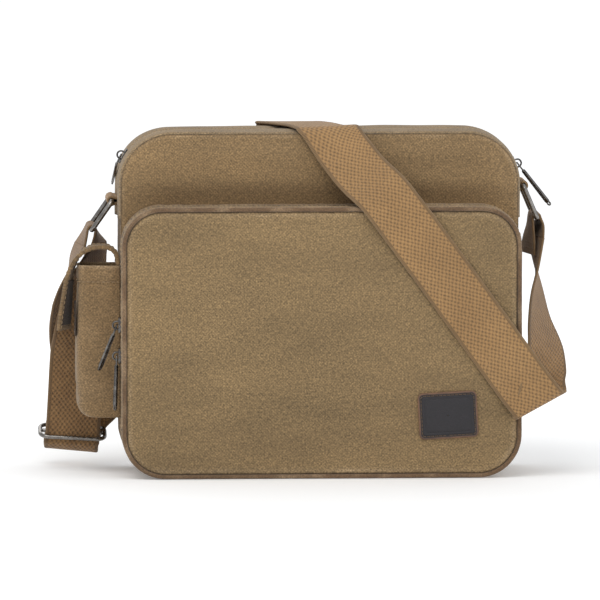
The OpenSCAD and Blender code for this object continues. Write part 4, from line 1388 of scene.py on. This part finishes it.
def slider(node, pin_point, normal):
    """Slider: waisted top plate, side flanges and the arched crown. Local X runs with the zip."""
    across = Vector((0, 1, 0))
    place = axes(across.cross(normal), across, normal, pin_point - normal * CROWN_Z)
    piece = Piece(f"{node}_cast", GUNMETAL)
    top = SLIDER_TOP + [(x, -y) for x, y in SLIDER_TOP[::-1]]
    slab(piece, mm(*top), 1.7 * MM, 3.2 * MM, place)
    ridge = [(-5.0, -0.9), (5.4, -0.9), (5.4, 0.9), (-5.0, 0.9)]
    slab(piece, mm(*ridge), 3.1 * MM, 3.3 * MM, place)
    for side in (-1, 1):
        flange = [(x, side * y) for x, y in SLIDER_FLANGE[::side]]
        slab(piece, mm(*flange), 0.4 * MM, 1.8 * MM, place)
    foot = [(-CROWN_R, 0, 3.0 * MM), (-CROWN_R, 0, 3.8 * MM)]
    arch = [(-CROWN_R * math.cos(a), 0, CROWN_Z + CROWN_R * math.sin(a))
            for a in np.radians(np.arange(0, 181, 15))]
    path = moved(place, foot + arch + [(-x, y, z) for x, y, z in foot[::-1]])
    piece.tube(path, 0.8 * MM, 10, squash=1.3, up=(0, 1, 0))
    chamfer(piece.build(node, "gunmetal", node), 0.35 * MM, 2)


def stud(piece, place, r, rise):
    """A low domed stud that rises along local X."""
    angles = np.linspace(0, 2 * math.pi, 9)[:-1]
    rings = [moved(place, [(rise * h, r * k * math.cos(a), r * k * math.sin(a)) for a in angles])
             for k, h in ((1.0, 0.0), (0.86, 0.55), (0.5, 0.9), (0.02, 1.0))]
    piece.grid(np.array(rings), ring=True)


def puller(node, pin_point, lean, bend, droop, twist):
    """Puller: a wire link and a long blade with a raised rim, a row of studs and a rimmed eye.

    lean turns the link about its pin; bend, droop and twist turn the blade in the link about X, Y
    and Z. All are in degrees.
    """
    link_width, link_length, link_corner, rise = 5.4 * MM, 10 * MM, 2.2 * MM, 0.6 * MM
    length, half_end, neck, thick = 40 * MM, 2.35 * MM, 1.7 * MM, 1.5 * MM
    eye_r, stud_r, stud_pitch = 1.72 * MM, 0.62 * MM, 2.0 * MM

    def spin(degrees, axis):
        return Matrix.Rotation(math.radians(degrees), 4, axis)

    hang = Matrix.Translation(pin_point) @ spin(lean, "Y")
    blade = (hang @ Matrix.Translation((0, 0, rise - link_length)) @ spin(droop, "Y")
             @ spin(bend, "X") @ spin(twist, "Z"))
    blade_face = tuple(blade.to_3x3() @ Vector((1, 0, 0)))
    piece = Piece(f"{node}_cast", GUNMETAL)
    flat = rounded_rect(link_width, link_length, link_corner, link_corner, rise - link_length,
                        0.7 * MM)
    piece.tube(moved(hang, [(0, y, z) for y, z in flat]), 0.7 * MM, 10, closed=True,
               up=tuple(hang.to_3x3() @ Vector((1, 0, 0))))
    eye_z = neck - length + half_end
    tip_z = eye_z + 1.3 * MM
    outline = [(neck * math.cos(a), neck * math.sin(a)) for a in np.radians(np.arange(0, 181, 30))]
    outline += [(-half_end * 0.97, tip_z + 1.2 * MM), (-half_end * 0.7, tip_z),
                (half_end * 0.7, tip_z), (half_end * 0.97, tip_z + 1.2 * MM)]
    upright = Matrix(((0, 0, 1), (1, 0, 0), (0, 1, 0))).to_4x4()
    slab(piece, outline, -thick / 2, thick / 2, blade @ upright)
    for face in (-1, 1):
        x = face * thick / 2
        rim = np.array([(x, y * 0.86, z) for y, z in outline])
        rim = resample(np.vstack([rim, rim[:1]]), 60)[:-1]
        piece.tube(moved(blade, rim), 0.33 * MM, 6, closed=True, up=blade_face)
        for z in np.arange(-2.4 * MM, tip_z + 2.4 * MM, -stud_pitch):
            stud(piece, blade @ Matrix.Translation((x, 0, z)), stud_r, face * 0.4 * MM)
    eye = [(0, eye_r * math.cos(a), eye_z + eye_r * math.sin(a))
           for a in np.linspace(0, 2 * math.pi, 25)[:-1]]
    piece.tube(moved(blade, eye), 0.72 * MM, 10, closed=True, squash=1.15, up=blade_face)
    chamfer(piece.build(node, "gunmetal", node), 0.25 * MM, 2)


def make_sliders():
    """Sliders and pullers; the main ones stand square to the zip, the pocket's face the left."""
    for zip_name, side, turns in (("main", "left", (26, 60, -18, 0)),
                                  ("main", "right", (-38, 0, 0, 38)),
                                  ("pocket", "upper", (20, 26, 0, -42)),
                                  ("pocket", "lower", (2, 0, 0, 30))):
        spot = pin(f"{zip_name}_puller_{side}_swing")
        normal = Vector((-1, 0, 0))
        if zip_name == "main":
            normal = (spot - pin(f"main_slider_{side}_run")).normalized()
        slider(f"{zip_name}_slider_{side}", spot, normal)
        puller(f"{zip_name}_puller_{side}", spot, *turns)


# ---- Stage ----------------------------------------------------------------------------------

def paint_inner_parts():
    """The lining and the foam boards are kept as the frame has them."""
    for node, material in (("main_lining", LINING), ("pocket_lining", LINING),
                           ("front_foam", FOAM), ("back_foam", FOAM)):
        mesh = frame["nodes"][node].data
        mesh.materials.clear()
        mesh.materials.append(material)


def area_light(name, place, height, size, power, colour):
    """A rectangular lamp that looks at a height on the bag's middle line."""
    data = bpy.data.lights.new(name, "AREA")
    data.shape = "RECTANGLE"
    data.size, data.size_y = size
    data.energy = power
    data.color = colour
    obj = bpy.data.objects.new(name, data)
    obj.location = place
    away = Vector(place) - Vector((0, 0, height))
    obj.rotation_euler = (-away).to_track_quat("-Z", "Y").to_euler()
    scene.collection.objects.link(obj)
    return obj


def floor_material():
    """Matt white paper with a painted glow: its emission grows away from the bag, until it meets
    the white behind it.
    """
    s = Shader("floor", rough=1.0)
    grain = s.noise(s.place(), 8.0)
    s.feed(s.out.inputs["Base Color"], s.tint((0.93, 0.93, 0.93), s.remap(grain, 0, 1, 0.99, 1.01)))
    away = s.nodes.new("ShaderNodeVectorMath")
    away.operation = "LENGTH"
    s.links.new(s.place(), away.inputs[0])
    # painted glow: the floor emits light that grows with distance from the bag
    s.out.inputs["Emission Color"].default_value = (1, 1, 1, 1)
    s.feed(s.out.inputs["Emission Strength"], s.remap(away.outputs["Value"], 0.25, 1.0, 0.12, 0.4))
    return s.mat


def make_world():
    """A soft cool fill that lights the bag, with plain white where the camera looks."""
    world = scene.world or bpy.data.worlds.new("world")
    scene.world = world
    world.use_nodes = True
    nodes, links = world.node_tree.nodes, world.node_tree.links
    fill, seen = nodes["Background"], nodes.new("ShaderNodeBackground")
    for background, colour, strength in ((fill, (0.96, 0.98, 1.0, 1), 0.72),
                                         (seen, (1, 1, 1, 1), 1.0)):
        background.inputs["Color"].default_value = colour
        background.inputs["Strength"].default_value = strength
    rays, mix = nodes.new("ShaderNodeLightPath"), nodes.new("ShaderNodeMixShader")
    links.new(rays.outputs["Is Camera Ray"], mix.inputs[0])
    links.new(fill.outputs[0], mix.inputs[1])
    links.new(seen.outputs[0], mix.inputs[2])
    links.new(mix.outputs[0], nodes["World Output"].inputs[0])


def make_stage():
    """Floor, three lamps and the world round the bag."""
    reach = 40.0
    mesh = bpy.data.meshes.new("floor")
    mesh.from_pydata([(-reach, -reach, 0), (reach, -reach, 0), (reach, reach, 0),
                      (-reach, reach, 0)], [], [(0, 1, 2, 3)])
    mesh.materials.append(floor_material())
    floor = bpy.data.objects.new("floor", mesh)
    floor.location.z = -0.3 * MM
    scene.collection.objects.link(floor)
    area_light("key", (-0.5, -1.1, 1.7), 0.12, (1.4, 1.0), 15, (1.0, 0.98, 0.95))
    area_light("side_fill", (1.6, -0.9, 0.9), 0.15, (1.2, 1.2), 4, (0.95, 0.98, 1.0))
    area_light("back_rim", (-0.4, 1.5, 1.3), 0.15, (1.4, 0.8), 6, (1, 1, 1))
    make_world()
    scene.view_settings.view_transform = "Standard"


def make_camera():
    """Long lens from 3 degrees left of the front and 5 degrees above, on the bag with its strap."""
    turn, rise = math.radians(-3), math.radians(5)
    away = Vector((math.sin(turn) * math.cos(rise), -math.cos(turn) * math.cos(rise),
                   math.sin(rise)))
    target = Vector((-19.6 * MM, FRONT_Y, 157 * MM))
    distance, seen_width = 8.0, 524 * MM
    data = bpy.data.cameras.new("camera")
    data.sensor_width = 36
    data.lens = data.sensor_width * distance / seen_width
    data.clip_end = 100
    camera = bpy.data.objects.new("camera", data)
    camera.location = target + away * distance
    camera.rotation_euler = (-away).to_track_quat("-Z", "Y").to_euler()
    scene.collection.objects.link(camera)
    scene.camera = camera


make_panels()
piping("back_piping_cord", body_outline(3 * MM), BACK_Y - CORD_R, "back_piping")
piping("pocket_piping_cord", pocket_outline(3 * MM), FRONT_Y + CORD_R, "pocket_piping")
make_gussets()
make_zips()
make_straps()
make_rings()
make_ring_webbing()
make_adjuster()
make_side_pocket()
make_tongue()
make_patch()
make_sliders()
paint_inner_parts()
make_stage()
make_camera()
